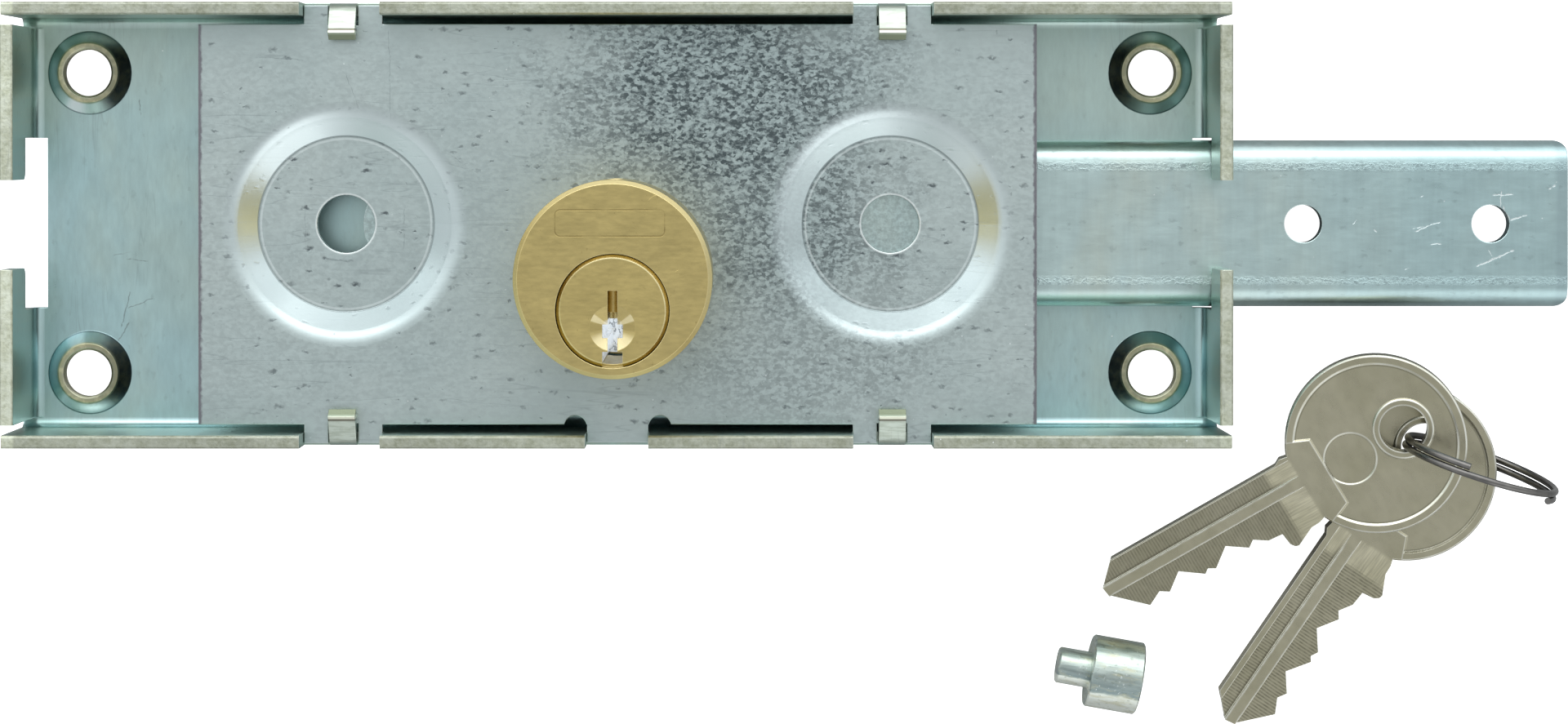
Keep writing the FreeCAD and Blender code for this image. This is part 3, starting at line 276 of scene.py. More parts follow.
def nick_group():
    """One straight scratch: where it starts, how it is turned, how long and how wide it is."""
    group = bpy.data.node_groups.new("one_scratch", "ShaderNodeTree")
    for name, kind in (("Point", "Vector"), ("Start", "Vector"), ("Turn", "Float"), ("Length", "Float"),
                       ("Width", "Float")):
        group.interface.new_socket(name, in_out="INPUT", socket_type=f"NodeSocket{kind}")
    group.interface.new_socket("Mask", in_out="OUTPUT", socket_type="NodeSocketFloat")
    given = put(group, "NodeGroupInput")
    near = vector(group, "SUBTRACT", given.outputs["Point"], given.outputs["Start"])
    along, across, _ = split(group, put(group, "ShaderNodeVectorRotate", {
        "Vector": near, "Angle": maths(group, "MULTIPLY", given.outputs["Turn"], -1.0)},
        rotation_type="Z_AXIS").outputs[0])
    wobble = band(group, noise(group, given.outputs["Point"], 0.9, 2), 0.3, 0.7, -0.12, 0.12)
    off = maths(group, "ABSOLUTE", maths(group, "ADD", across, wobble))
    line = maths(group, "SUBTRACT", 1.0, maths(group, "DIVIDE", off, given.outputs["Width"]))
    ends = times(group, band(group, along, 0.0, 0.25), band(group, maths(
        group, "SUBTRACT", given.outputs["Length"], along), 0.0, 0.25))
    broken = band(group, noise(group, given.outputs["Point"], 2.2, 2), 0.36, 0.50, 0.25, 1.0)
    put(group, "NodeGroupOutput", {"Mask": times(group, band(group, line, 0.0, 0.6), ends, broken)})
    return group


rolled_sheet = rolled_sheet_group()
one_scratch = nick_group()


def sheet_marks(tree, point, pits, scratches, flecks, turn=0.0):
    """The rolled sheet's marks in one material."""
    laid = put(tree, "ShaderNodeMapping", {"Vector": point, "Rotation": (0, 0, turn)}).outputs[0]
    return put(tree, "ShaderNodeGroup", {"Point": laid, "Pits": pits, "Scratches": scratches,
                                         "Flecks": flecks}, node_tree=rolled_sheet)


def nicks(tree, point, places):
    """All the single scratches of one piece, each from a place to a place."""
    mask = 0.0
    for x0, y0, x1, y1, width in places:
        one = put(tree, "ShaderNodeGroup", {
            "Point": point, "Start": (x0, y0, 0), "Turn": math.atan2(y1 - y0, x1 - x0),
            "Length": math.hypot(x1 - x0, y1 - y0), "Width": width}, node_tree=one_scratch)
        mask = maths(tree, "MAXIMUM", mask, one.outputs["Mask"])
    return mask


case_plating, tree, shader, point = new_finish("zinc_case_plating")
marks = sheet_marks(tree, point, 0.14, 0.35, 1.0, math.pi / 2)
grain = marks.outputs["Grain"]
along, across, level = split(tree, point)
drift = maths(tree, "ADD", noise(tree, point, 0.035, 3), band(tree, across, -25, 25, 0.10, -0.10))
teal = mix(tree, band(tree, drift, 0.36, 0.62), (0.49, 0.615, 0.575, 1), (0.455, 0.635, 0.65, 1))
film = band(tree, noise(tree, point, 0.09, 4, (1.6, 0.7, 1)), 0.50, 0.74)
shade = mix(tree, times(tree, film, 0.20), teal, (0.56, 0.59, 0.44, 1))
# Painted shade: the walls are made darker and more olive than the floor of the tray, with painted reflection
# streaks along them.
standing = between(tree, level, 3.6, 16.1, 1.6)
shade = mix(tree, times(tree, standing, 0.55), shade, (0.40, 0.45, 0.32, 1))
streak = band(tree, noise(tree, point, 1.0, 3, (0.9, 0.9, 0.05)), 0.35, 0.65)
shade = mix(tree, times(tree, standing, streak, 0.35), shade, (0.36, 0.55, 0.52, 1))
shade = tinted(tree, shade, band(tree, grain, 0.3, 0.7, 0.91, 1.09))
mirrored = vector(tree, "ABSOLUTE", point)
# The cone round each fixing hole, painted with light and shade, and the yellow film on the flat ring inside
# it.
hole_x, hole_y = 66.5, 18.8
way, reach = from_place(tree, mirrored, hole_x, hole_y)
inward, sideways, _ = split(tree, vector(tree, "NORMALIZE", way))
cone_inner, cone_outer = 3.92, 5.15
cone_zone = times(tree, between(tree, reach, cone_inner, cone_outer, 0.16), band(tree, level, 1.60, 1.75))
left_end = band(tree, along, -1.0, 1.0, 1.0, 0.0)
# Painted shade, blotched, on the side of each cone that faces the middle of the lock.
blotch = band(tree, noise(tree, point, 0.8, 3), 0.40, 0.62)
cone_shade = mix(tree, times(tree, blotch, 0.55), (0.040, 0.045, 0.048, 1), (0.22, 0.20, 0.11, 1))
shade = mix(tree, times(tree, cone_zone, band(tree, inward, 0.1, -0.85), 0.88), shade, cone_shade)
# Painted teal reflection on the side of each cone towards the ends of the lock.
shade = mix(tree, times(tree, cone_zone, band(tree, inward, -0.1, 0.9), 0.6), shade, (0.22, 0.40, 0.44, 1))
# Painted highlight on the side of each cone towards the long middle line of the lock, weaker on the two right
# holes.
downward = times(tree, sideways, band(tree, across, -1.0, 1.0, -1.0, 1.0))
gleam = times(tree, cone_zone, band(tree, downward, -0.40, -0.80), band(tree, inward, -0.65, -0.20))
shade = mix(tree, times(tree, gleam, band(tree, left_end, 0, 1, 0.55, 1.0)), shade, (0.92, 1.0, 1.0, 1))
ledge = times(tree, band(tree, reach, 3.70, 3.98, 1.0, 0.0), band(tree, level, 0.4, 0.8))
gold = mix(tree, band(tree, reach, 3.0, 3.5), (0.47, 0.465, 0.35, 1), (0.50, 0.475, 0.29, 1))
gold = mix(tree, times(tree, band(tree, noise(tree, point, 0.9, 3), 0.48, 0.66), 0.6), gold,
           (0.86, 0.79, 0.52, 1))
# Painted highlight at the inner edge of the flat ring, and painted shade on its side towards the middle of
# the lock.
gold = mix(tree, band(tree, reach, 3.04, 3.16), (0.86, 0.82, 0.62, 1), gold)
gold = tinted(tree, gold, band(tree, inward, 0.3, -0.8, 1.03, 0.62))
shade = mix(tree, times(tree, ledge, 0.92), shade, gold)
# Painted shade: a dark line round the outer edge of each cone.
cone_edge_shade = between(tree, reach, 5.12, 5.20, 0.08)
shade = mix(tree, times(tree, cone_edge_shade, 0.60), shade, (0.06, 0.08, 0.11, 1))
# The four tabs that are bent over the cover, painted with light and shade: a lit top, a painted shadow in the
# fold, a painted highlight on the lip, and an olive tip.
far_x, far_y, _ = split(tree, mirrored)
tab_start, tab_stop = 31.9, 35.5
tab_zone = times(tree, between(tree, far_x, tab_start, tab_stop, 0.05),
                 between(tree, far_y, 20.5, 26.8, 0.05), band(tree, level, 9.5, 10.0))
tab_tone = mix(tree, band(tree, noise(tree, point, 1.0, 3, (0.5, 3, 1)), 0.4, 0.6), (0.48, 0.53, 0.45, 1),
               (0.62, 0.68, 0.60, 1))
# Painted shadow in the fold, then a painted highlight on the lip.
tab_tone = mix(tree, band(tree, far_y, 24.10, 23.95), tab_tone, (0.14, 0.12, 0.09, 1))
tab_tone = mix(tree, band(tree, far_y, 23.85, 23.70), tab_tone, (0.86, 0.86, 0.70, 1))
tab_tone = mix(tree, band(tree, far_y, 23.45, 23.20), tab_tone, (0.42, 0.42, 0.28, 1))
shade = mix(tree, times(tree, tab_zone, 0.9), shade, tab_tone)
# The sheared edge along the top of the walls, torn and bare.
rim_level = 16.12
rim = band(tree, level, rim_level, rim_level + 0.16)
speckle = band(tree, noise(tree, point, 2.0, 4), 0.36, 0.64)
torn = band(tree, noise(tree, point, 0.55, 4, (1, 1, 1), 0.4, 0.7), 0.42, 0.60)
cut_edge = mix(tree, speckle, (0.40, 0.42, 0.32, 1), (0.52, 0.54, 0.43, 1))
cut_edge = mix(tree, times(tree, torn, 0.55), cut_edge, (0.66, 0.69, 0.60, 1))
cut_edge = tinted(tree, cut_edge, band(tree, far_x, 73.2, 73.5, 0.87, 1.32))
cut_edge = tinted(tree, cut_edge, band(tree, along, 73.0, 73.3, 1.0, 0.80))
uneven = noise(tree, point, 0.12, 3, (0.4, 0.4, 1))
cut_edge = tinted(tree, cut_edge, band(tree, uneven, 0.35, 0.65, 0.88, 1.12))
shade = mix(tree, rim, shade, cut_edge)
# Painted highlight along the sharp edges of the rim.
rim_highlight = edges(tree, 0.16)
shade = mix(tree, times(tree, rim_highlight, rim, 0.55), shade, (0.86, 0.88, 0.78, 1))
# Pits, flecks and scratches from handling.
shade = mix(tree, marks.outputs["Pits"], shade, (0.12, 0.13, 0.12, 1))
shade = mix(tree, marks.outputs["Flecks"], shade, (0.92, 0.95, 0.93, 1))
hairs = nicks(tree, point, (
    (-62.0, -4.5, -59.2, -4.9, 0.09), (-62.6, -13.2, -61.4, -8.6, 0.09), (-61.8, -10.8, -58.6, -9.4, 0.08),
    (-63.2, -15.2, -61.6, -12.4, 0.10), (-60.3, 15.6, -60.1, 13.4, 0.09), (-63.6, -4.2, -61.4, -3.7, 0.06)))
hairs = maths(tree, "MAXIMUM", hairs, marks.outputs["Scratches"])
shade = mix(tree, times(tree, hairs, 0.55), shade, (0.17, 0.19, 0.19, 1))
tree.links.new(shade, shader.inputs["Base Color"])
rough = maths(tree, "ADD", band(tree, grain, 0.3, 0.7, 0.27, 0.37), times(tree, rim, 0.15))
tree.links.new(rough, shader.inputs["Roughness"])
relief = maths(tree, "ADD", marks.outputs["Height"], times(tree, speckle, rim))
bump(tree, shader, relief, 0.03, 0.6, 0.14)
nodes["case"].data.materials[0] = case_plating


# Works under the cover and in the cylinder: a guide stud, a toothed bar and its rivets, a pinion, two
# screws that hold the cylinder, spring clips and pin springs. Plain oiled steel, turned, cut or wound.
def steel(name, colour, roughness, turned):
    """Grey steel with tool marks, either round the part or across it."""
    material, tree, shader, point = new_finish(name)
    marks = noise(tree, point, 1.0, 3, (0.3, 0.3, 9) if turned else (6, 0.3, 0.3))
    cloud = noise(tree, point, 0.8, 3)
    dark = tuple(v * 0.72 for v in colour) + (1,)
    tone = mix(tree, band(tree, cloud, 0.3, 0.7), dark, colour + (1,))
    tree.links.new(tone, shader.inputs["Base Color"])
    rough = band(tree, marks, 0.3, 0.7, roughness - 0.08, roughness + 0.10)
    tree.links.new(rough, shader.inputs["Roughness"])
    bump(tree, shader, marks, 0.02, 0.5, 0.05)
    return material


oiled_steel = steel("oiled_steel", (0.46, 0.46, 0.45), 0.36, False)
turned_steel = steel("turned_steel", (0.52, 0.52, 0.50), 0.30, True)
clip_steel = steel("spring_steel", (0.20, 0.20, 0.21), 0.32, False)
for name in ("bolt_rack", "drive_pinion"):
    nodes[name].data.materials[0] = oiled_steel
for name in ("guide_stud", "rack_rivets", "cylinder_screws"):
    nodes[name].data.materials[0] = turned_steel
for name in ["plug_clip", "pinion_clip"] + [f"driver_spring_{i}" for i in range(1, 6)]:
    nodes[name].data.materials[0] = clip_steel


# Bolt: a steel strip folded into a channel and bright zinc plated. The folds are coined, so their inner
# edge is rough, and the free end carries scratches from use.
bolt_plating, tree, shader, point = new_finish("bright_zinc_bolt")
marks = sheet_marks(tree, point, 0.25, 0.35, 0.8)
along, across, level = split(tree, point)
wear_and_highlight = band(tree, maths(tree, "ADD", along, times(tree, noise(tree, point, 0.05, 3), 16)), 80, 108)
tone = mix(tree, wear_and_highlight, (0.535, 0.665, 0.655, 1), (0.445, 0.595, 0.605, 1))
film = band(tree, noise(tree, point, 0.10, 3, (1.4, 0.6, 1)), 0.46, 0.72)
film = times(tree, film, band(tree, along, 70, 92, 1.0, 0.2))
tone = mix(tree, times(tree, film, 0.30), tone, (0.62, 0.62, 0.48, 1))
tone = tinted(tree, tone, band(tree, marks.outputs["Grain"], 0.3, 0.7, 0.93, 1.07))
tone = tinted(tree, tone, band(tree, noise(tree, point, 1.0, 3, (1.3, 0.10, 1)), 0.35, 0.65, 0.97, 1.03))
from_middle = maths(tree, "ABSOLUTE", across)
shoulder = times(tree, between(tree, from_middle, 6.75, 7.45, 0.35), band(tree, level, 5.2, 5.6))
rough_edge = band(tree, noise(tree, point, 1.5, 4, (1, 1.6, 1), 0, 0.7), 0.42, 0.60)
tone = mix(tree, times(tree, shoulder, rough_edge, 0.42), tone, (0.24, 0.31, 0.33, 1))
# Painted shade, mottled, where the bolt runs under the cover.
shade_under_cover = band(tree, along, 52.0, 48.0)
mottled = band(tree, noise(tree, point, 1.7, 4, (1, 1, 1), 0, 0.7), 0.40, 0.60)
tone = mix(tree, times(tree, shade_under_cover, mottled, 0.45), tone, (0.26, 0.31, 0.30, 1))
tip = band(tree, along, 115.9, 116.4)
tone = mix(tree, times(tree, tip, 0.35), tone, (0.30, 0.40, 0.43, 1))
tone = mix(tree, marks.outputs["Pits"], tone, (0.14, 0.17, 0.17, 1))
cuts = nicks(tree, point, (
    (108.2, 3.55, 110.9, 3.60, 0.09), (109.4, 4.1, 109.2, 1.5, 0.08), (109.5, 2.3, 110.4, 0.35, 0.11),
    (110.4, 0.35, 112.6, 1.15, 0.11), (106.2, -5.35, 109.2, -4.05, 0.13), (108.7, -4.3, 111.0, -3.25, 0.12),
    (98.6, -1.0, 101.9, 0.35, 0.07), (98.3, -0.6, 99.9, -0.3, 0.06), (100.5, -2.6, 102.0, -2.5, 0.07),
    (115.2, 4.2, 116.1, 4.9, 0.13), (97.3, -5.7, 98.1, -5.5, 0.06), (99.3, 3.2, 99.8, 3.5, 0.07),
    (93.5, -0.7, 94.0, -1.1, 0.10), (90.9, -0.2, 91.5, 0.6, 0.05), (107.7, -3.2, 108.2, -4.1, 0.07)))
# Bright nicks and pale flecks, with a painted highlight along the sharp edges.
nicks_and_edge_highlight = maths(tree, "MAXIMUM", times(tree, cuts, 0.9), marks.outputs["Flecks"])
nicks_and_edge_highlight = maths(tree, "MAXIMUM", nicks_and_edge_highlight, times(tree, edges(tree, 0.16), 0.32))
tone = mix(tree, nicks_and_edge_highlight, tone, (0.92, 0.98, 0.98, 1))
tree.links.new(tone, shader.inputs["Base Color"])
tree.links.new(band(tree, marks.outputs["Grain"], 0.3, 0.7, 0.26, 0.36), shader.inputs["Roughness"])
relief = maths(tree, "ADD", marks.outputs["Height"], times(tree, shoulder, rough_edge, 2.2))
bump(tree, shader, maths(tree, "SUBTRACT", relief, cuts), 0.025, 0.55, 0.20)
nodes["bolt"].data.materials[0] = bolt_plating


# Cover plate: galvanised sheet, grey with dark flecks, and a fine spangle that a painted reflection shows
# dark in one patch. It is stamped with two round dishes; the punch has smoothed their shoulders, which carry
# painted highlights and shade.
cover_zinc, tree, shader, point = new_finish("galvanised_cover")
marks = sheet_marks(tree, point, 1.0, 0.6, 0.6)
across = split(tree, point)[1]
shaken = put(tree, "ShaderNodeTexNoise", {"Vector": point, "Scale": 2.4, "Detail": 2}).outputs["Color"]
grit = vector(tree, "ADD", point, vector(tree, "MULTIPLY", shaken, (0.5, 0.5, 0)))
flat_grit = put(tree, "ShaderNodeMapping", {"Vector": grit, "Scale": (1.0, 1.4, 1)}).outputs[0]
flake = put(tree, "ShaderNodeTexVoronoi", {"Vector": flat_grit, "Scale": 2.2}, feature="F1").outputs["Color"]
flake = put(tree, "ShaderNodeSeparateColor", {0: flake}).outputs[0]
fine = noise(tree, grit, 1.5, 4, (0.8, 1.4, 1), 0, 0.7)
spangle = maths(tree, "ADD", times(tree, flake, 0.5), times(tree, band(tree, fine, 0.34, 0.66), 0.5))
ragged = times(tree, noise(tree, point, 0.16, 4, (1, 1, 1), 0, 0.65), 0.9)


def patch(tree, x, y, wide, high, strength):
    """A soft-edged patch where the spangle shows dark, as a painted reflection."""
    far = put(tree, "ShaderNodeMapping", {"Vector": point, "Location": (-x / wide, -y / high, 0),
                                          "Scale": (1 / wide, 1 / high, 0)}).outputs[0]
    far = vector(tree, "LENGTH", far)
    return times(tree, band(tree, maths(tree, "ADD", far, ragged), 0.95, 1.65, 1.0, 0.0), strength)


# Painted reflection: in these patches the spangle shows dark.
dark_reflection_patch = maths(tree, "MAXIMUM", patch(tree, 13.0, 16.0, 21.0, 17.0, 1.0),
               patch(tree, 21.0, 1.0, 15.0, 15.0, 0.8))
dark_reflection_patch = maths(tree, "MAXIMUM", dark_reflection_patch, patch(tree, 22.0, -14.0, 20.0, 12.0, 0.35))
dark_reflection_patch = maths(tree, "ADD", times(tree, dark_reflection_patch, 0.94), 0.06)
dark = mix(tree, band(tree, spangle, 0.30, 0.72), (0.100, 0.126, 0.132, 1), (0.430, 0.512, 0.512, 1))
plain = mix(tree, band(tree, noise(tree, point, 0.05, 3), 0.38, 0.62), (0.475, 0.555, 0.550, 1),
            (0.52, 0.595, 0.585, 1))
plain = tinted(tree, plain, band(tree, marks.outputs["Grain"], 0.3, 0.7, 0.94, 1.06))
tone = mix(tree, dark_reflection_patch, plain, dark)
tone = mix(tree, times(tree, marks.outputs["Pits"], 0.95), tone, (0.11, 0.13, 0.14, 1))
hairs = nicks(tree, point, (
    (-28.1, 23.9, -27.9, 12.6, 0.05), (-33.4, 18.6, -31.7, 14.0, 0.05), (-44.5, 20.6, -38.5, 20.2, 0.05),
    (-20.5, 8.5, -19.0, 7.6, 0.05), (-36.4, -4.3, -32.6, -4.6, 0.16), (28.0, 20.6, 27.8, 16.4, 0.05),
    (-26.5, -3.2, -26.4, 2.0, 0.05), (37.8, 14.2, 41.5, 13.9, 0.05), (-38.7, 2.9, -38.6, -2.4, 0.05)))
hairs = maths(tree, "MAXIMUM", hairs, marks.outputs["Scratches"])
tone = mix(tree, times(tree, hairs, 0.5), tone, (0.22, 0.26, 0.27, 1))
mirrored = vector(tree, "ABSOLUTE", point)
dish_x, floor_radius, shoulder_radius = 33.6, 10.85, 15.2
_, reach = from_place(tree, mirrored, dish_x, 0.0)
# Painted highlight on the dish shoulders, brighter towards the top, with painted shade on their lowest part.
shoulder = times(tree, band(tree, reach, floor_radius, 11.0),
                 band(tree, reach, 12.6, shoulder_radius, 1.0, 0.0))
tone = mix(tree, times(tree, shoulder, 0.70), tone, (0.54, 0.62, 0.635, 1))
# Painted highlight round the hole in each dish floor.
lip = between(tree, reach, 3.60, 3.78, 0.06)
tone = mix(tree, times(tree, lip, 0.60), tone, (0.90, 0.95, 0.94, 1))
upper = times(tree, shoulder, band(tree, across, -9.0, 11.0))
tone = mix(tree, times(tree, upper, 0.75), tone, (0.84, 0.93, 0.94, 1))
tone = tinted(tree, tone, band(tree, times(tree, shoulder, band(tree, across, -6.0, -13.0)), 0, 1, 1.0, 0.86))
# Painted shadow in the crease at the edge of each dish floor, and a painted highlight just inside it.
fold = between(tree, reach, 10.78, 10.92, 0.07)
tone = mix(tree, times(tree, fold, 0.6), tone, (0.18, 0.22, 0.23, 1))
brim = between(tree, reach, 10.42, 10.58, 0.08)
tone = mix(tree, times(tree, brim, 0.45), tone, (0.80, 0.87, 0.87, 1))
far_x = split(tree, mirrored)[0]
sheared = band(tree, maths(tree, "ADD", far_x, times(tree, noise(tree, point, 1.1, 3), 0.7)), 51.35, 51.6)
tone = mix(tree, times(tree, sheared, 0.8), tone, (0.16, 0.14, 0.17, 1))
tone = mix(tree, marks.outputs["Flecks"], tone, (0.90, 0.94, 0.94, 1))
# Painted highlight along the sharp edges.
tone = mix(tree, times(tree, edges(tree, 0.14), 0.40), tone, (0.88, 0.92, 0.90, 1))
tree.links.new(tone, shader.inputs["Base Color"])
dull = band(tree, spangle, 0.2, 0.8, 0.34, 0.44)
rough = put(tree, "ShaderNodeMix", {0: shoulder, 2: dull, 3: 0.30}).outputs[0]
tree.links.new(rough, shader.inputs["Roughness"])
bump(tree, shader, marks.outputs["Height"], 0.03, 0.5, 0.20)
nodes["cover_plate"].data.materials[0] = cover_zinc


# Cylinder: a brass barrel, faced on a lathe, with a turned chamfer. Its face has a shallow stamped
# frame that is left bare. The plug, the pins and the chamber plugs are of the same brass.
def brass(name, colour, roughness):
    """Satin brass with fine cutter marks and small dark spots; it gives what a piece may add to."""
    material, tree, shader, point = new_finish(name)
    fine = noise(tree, point, 1.0, 4, (0.8, 2.6, 1))
    cloud = noise(tree, point, 0.22, 4, (0.8, 1.1, 1))
    spots = band(tree, noise(tree, point, 2.2, 2), 0.68, 0.76)
    dark = tuple(v * 0.88 for v in colour) + (1,)
    tone = mix(tree, band(tree, cloud, 0.35, 0.65), dark, colour + (1,))
    tone = tinted(tree, tone, band(tree, fine, 0.3, 0.7, 0.96, 1.04))
    tone = mix(tree, times(tree, spots, 0.4), tone, (0.30, 0.22, 0.08, 1))
    tree.links.new(band(tree, fine, 0.3, 0.7, roughness - 0.05, roughness + 0.06), shader.inputs["Roughness"])
    return material, tree, shader, point, tone, fine


def turned_bevel_group():
    """Painted highlight on a turned bevel round an upright axis: broad on its upper right side, and a thin
    line on its lower left.
    """
    group = bpy.data.node_groups.new("turned_bevel", "ShaderNodeTree")
    for name, kind in (("Way", "Vector"), ("Inner", "Float"), ("Outer", "Float"), ("Level", "Float")):
        group.interface.new_socket(name, in_out="INPUT", socket_type=f"NodeSocket{kind}")
    for name in ("Bright", "Line"):
        group.interface.new_socket(name, in_out="OUTPUT", socket_type="NodeSocketFloat")
    given = put(group, "NodeGroupInput").outputs
    reach = vector(group, "LENGTH", given["Way"])
    way = vector(group, "NORMALIZE", given["Way"])
    facing = vector(group, "DOT_PRODUCT", way, (0.55, 0.83, 0))
    ring = times(group, band(group, maths(group, "SUBTRACT", reach, given["Inner"]), -0.05, 0.0),
                 band(group, maths(group, "SUBTRACT", reach, given["Outer"]), 0.0, 0.05, 1.0, 0.0),
                 band(group, given["Level"], 30.7, 30.9))
    put(group, "NodeGroupOutput", {"Bright": times(group, ring, band(group, facing, -0.1, 0.75)),
                                   "Line": times(group, ring, band(group, facing, -0.2, -0.8))})
    return group


turned_bevel = turned_bevel_group()


def bevel_highlight(tree, tone, point, y, inner, outer, share):
    """The brass with a painted highlight on its turned bevel."""
    way, _ = from_place(tree, point, 0.0, y)
    ring = put(tree, "ShaderNodeGroup", {"Way": way, "Inner": inner, "Outer": outer,
                                         "Level": split(tree, point)[2]}, node_tree=turned_bevel).outputs
    tone = mix(tree, times(tree, ring["Bright"], share), tone, (1.0, 0.88, 0.50, 1))
    return mix(tree, times(tree, ring["Line"], 0.55), tone, (0.92, 0.84, 0.38, 1))


barrel_brass, tree, shader, point, tone, fine = brass("satin_brass_barrel", (0.59, 0.47, 0.195), 0.34)
frame_x, frame_y = -0.3, 0.55
half_length, half_width, corner_radius = 6.45, 1.55, 0.6
way, _ = from_place(tree, point, frame_x, frame_y)
beside, beyond, _ = split(tree, vector(tree, "ABSOLUTE", way))
side_x = maths(tree, "SUBTRACT", beside, half_length - corner_radius)
side_y = maths(tree, "SUBTRACT", beyond, half_width - corner_radius)
corner = put(tree, "ShaderNodeCombineXYZ", {0: maths(tree, "MAXIMUM", side_x, 0.0),
                                            1: maths(tree, "MAXIMUM", side_y, 0.0)}).outputs[0]
corner = vector(tree, "LENGTH", corner)
depth = maths(tree, "ADD", corner, maths(tree, "MINIMUM", maths(tree, "MAXIMUM", side_x, side_y), 0.0))
outline = maths(tree, "ABSOLUTE", maths(tree, "SUBTRACT", depth, corner_radius))
level = split(tree, point)[2]
frame_line = times(tree, band(tree, outline, 0.03, 0.11, 1.0, 0.0), band(tree, level, 31.35, 31.45),
                   band(tree, noise(tree, point, 0.45, 3), 0.36, 0.52, 0.25, 1.0))
cuts = nicks(tree, point, (
    (4.0, 3.1, 5.3, 4.0, 0.05), (-2.3, 1.95, -2.2, 2.8, 0.04), (3.8, 2.1, 3.9, 3.0, 0.04),
    (7.3, -5.2, 8.0, -4.9, 0.07), (7.3, -5.6, 7.9, -5.5, 0.05), (-5.6, 3.4, -5.4, 4.3, 0.03)))
tone = mix(tree, times(tree, frame_line, 0.75), tone, (0.26, 0.19, 0.07, 1))
tone = mix(tree, times(tree, cuts, 0.45), tone, (0.30, 0.23, 0.09, 1))
barrel_y, barrel_radius = -6.1, 11.75
# Painted highlight on the barrel's chamfer.
tone = bevel_highlight(tree, tone, point, barrel_y, 11.27, barrel_radius, 0.42)
# Painted highlight along the sharp edges.
tone = mix(tree, times(tree, edges(tree, 0.14), 0.50), tone, (0.95, 0.82, 0.46, 1))
tree.links.new(tone, shader.inputs["Base Color"])
relief = maths(tree, "SUBTRACT", fine, times(tree, maths(tree, "ADD", frame_line, cuts), 3.0))
bump(tree, shader, relief, 0.010, 0.6, 0.12)
nodes["cylinder_body"].data.materials[0] = barrel_brass
nodes["bore_plugs"].data.materials[0] = barrel_brass

plug_brass, tree, shader, point, tone, fine = brass("satin_brass_plug", (0.60, 0.475, 0.19), 0.34)
beside, beyond, level = split(tree, point)
countersink_y = -11.8
way, reach = from_place(tree, point, 0.0, countersink_y)
turned = maths(tree, "SINE", times(tree, reach, 62.0))
sunk = times(tree, band(tree, reach, 2.72, 2.66), band(tree, level, 30.5, 30.6))
tone = mix(tree, times(tree, sunk, 0.5), tone, (0.62, 0.51, 0.23, 1))
# Painted reflections on the turned countersink: bright patches on its upper left, upper right and lower
# sides, and painted shade at its left and right.
height = split(tree, vector(tree, "NORMALIZE", way))[1]
reflection_wedge = between(tree, height, 0.34, 0.58, 0.06)
glow = maths(tree, "MAXIMUM", reflection_wedge, band(tree, height, -0.30, -0.62))
tone = mix(tree, times(tree, sunk, glow, 0.70), tone, (1.0, 0.88, 0.55, 1))
tone = mix(tree, times(tree, sunk, between(tree, height, -0.12, 0.22, 0.10), 0.35), tone,
           (0.36, 0.27, 0.09, 1))
# The keyway is painted as lit from behind: a pale glow with dark lines of the inner works across it, in the
# colour and as emission.
slot = times(tree, between(tree, beside, -1.35, 1.35, 0.02), between(tree, beyond, -15.8, -10.9, 0.10))
slot = times(tree, slot, band(tree, level, 31.0, 30.6))
works_outline = maths(tree, "ABSOLUTE", maths(tree, "SUBTRACT", noise(tree, point, 0.9, 4, (1, 0.6, 1), 0.4), 0.5))
keyway_glow = mix(tree, band(tree, works_outline, 0.008, 0.035, 1.0, 0.0), (0.80, 0.84, 0.87, 1), (0.30, 0.32, 0.34, 1))
keyway_glow = tinted(tree, keyway_glow, band(tree, noise(tree, point, 1.6, 3), 0.35, 0.65, 0.80, 1.05))
tone = mix(tree, slot, tone, keyway_glow)
plug_y, plug_radius = -9.8, 6.65
# Painted highlight on the plug's bevel.
tone = bevel_highlight(tree, tone, point, plug_y, 6.18, plug_radius, 0.85)
# Painted highlight along the sharp edges.
tone = mix(tree, times(tree, edges(tree, 0.14), 0.45), tone, (0.95, 0.82, 0.46, 1))
tree.links.new(tone, shader.inputs["Base Color"])
# The keyway's painted glow, given as emission.
tree.links.new(mix(tree, slot, (0, 0, 0, 1), keyway_glow), shader.inputs["Emission Color"])
shader.inputs["Emission Strength"].default_value = 0.42
relief = maths(tree, "ADD", fine, times(tree, turned, sunk, 1.3))
bump(tree, shader, relief, 0.012, 0.6, 0.10)
nodes["plug"].data.materials[0] = plug_brass

pin_brass, tree, shader, _, tone, fine = brass("turned_brass_pin", (0.66, 0.50, 0.20), 0.22)
tree.links.new(tone, shader.inputs["Base Color"])
bump(tree, shader, fine, 0.008, 0.6, 0.08)
for i in range(1, 6):
    nodes[f"key_pin_{i}"].data.materials[0] = pin_brass
    nodes[f"driver_pin_{i}"].data.materials[0] = pin_brass
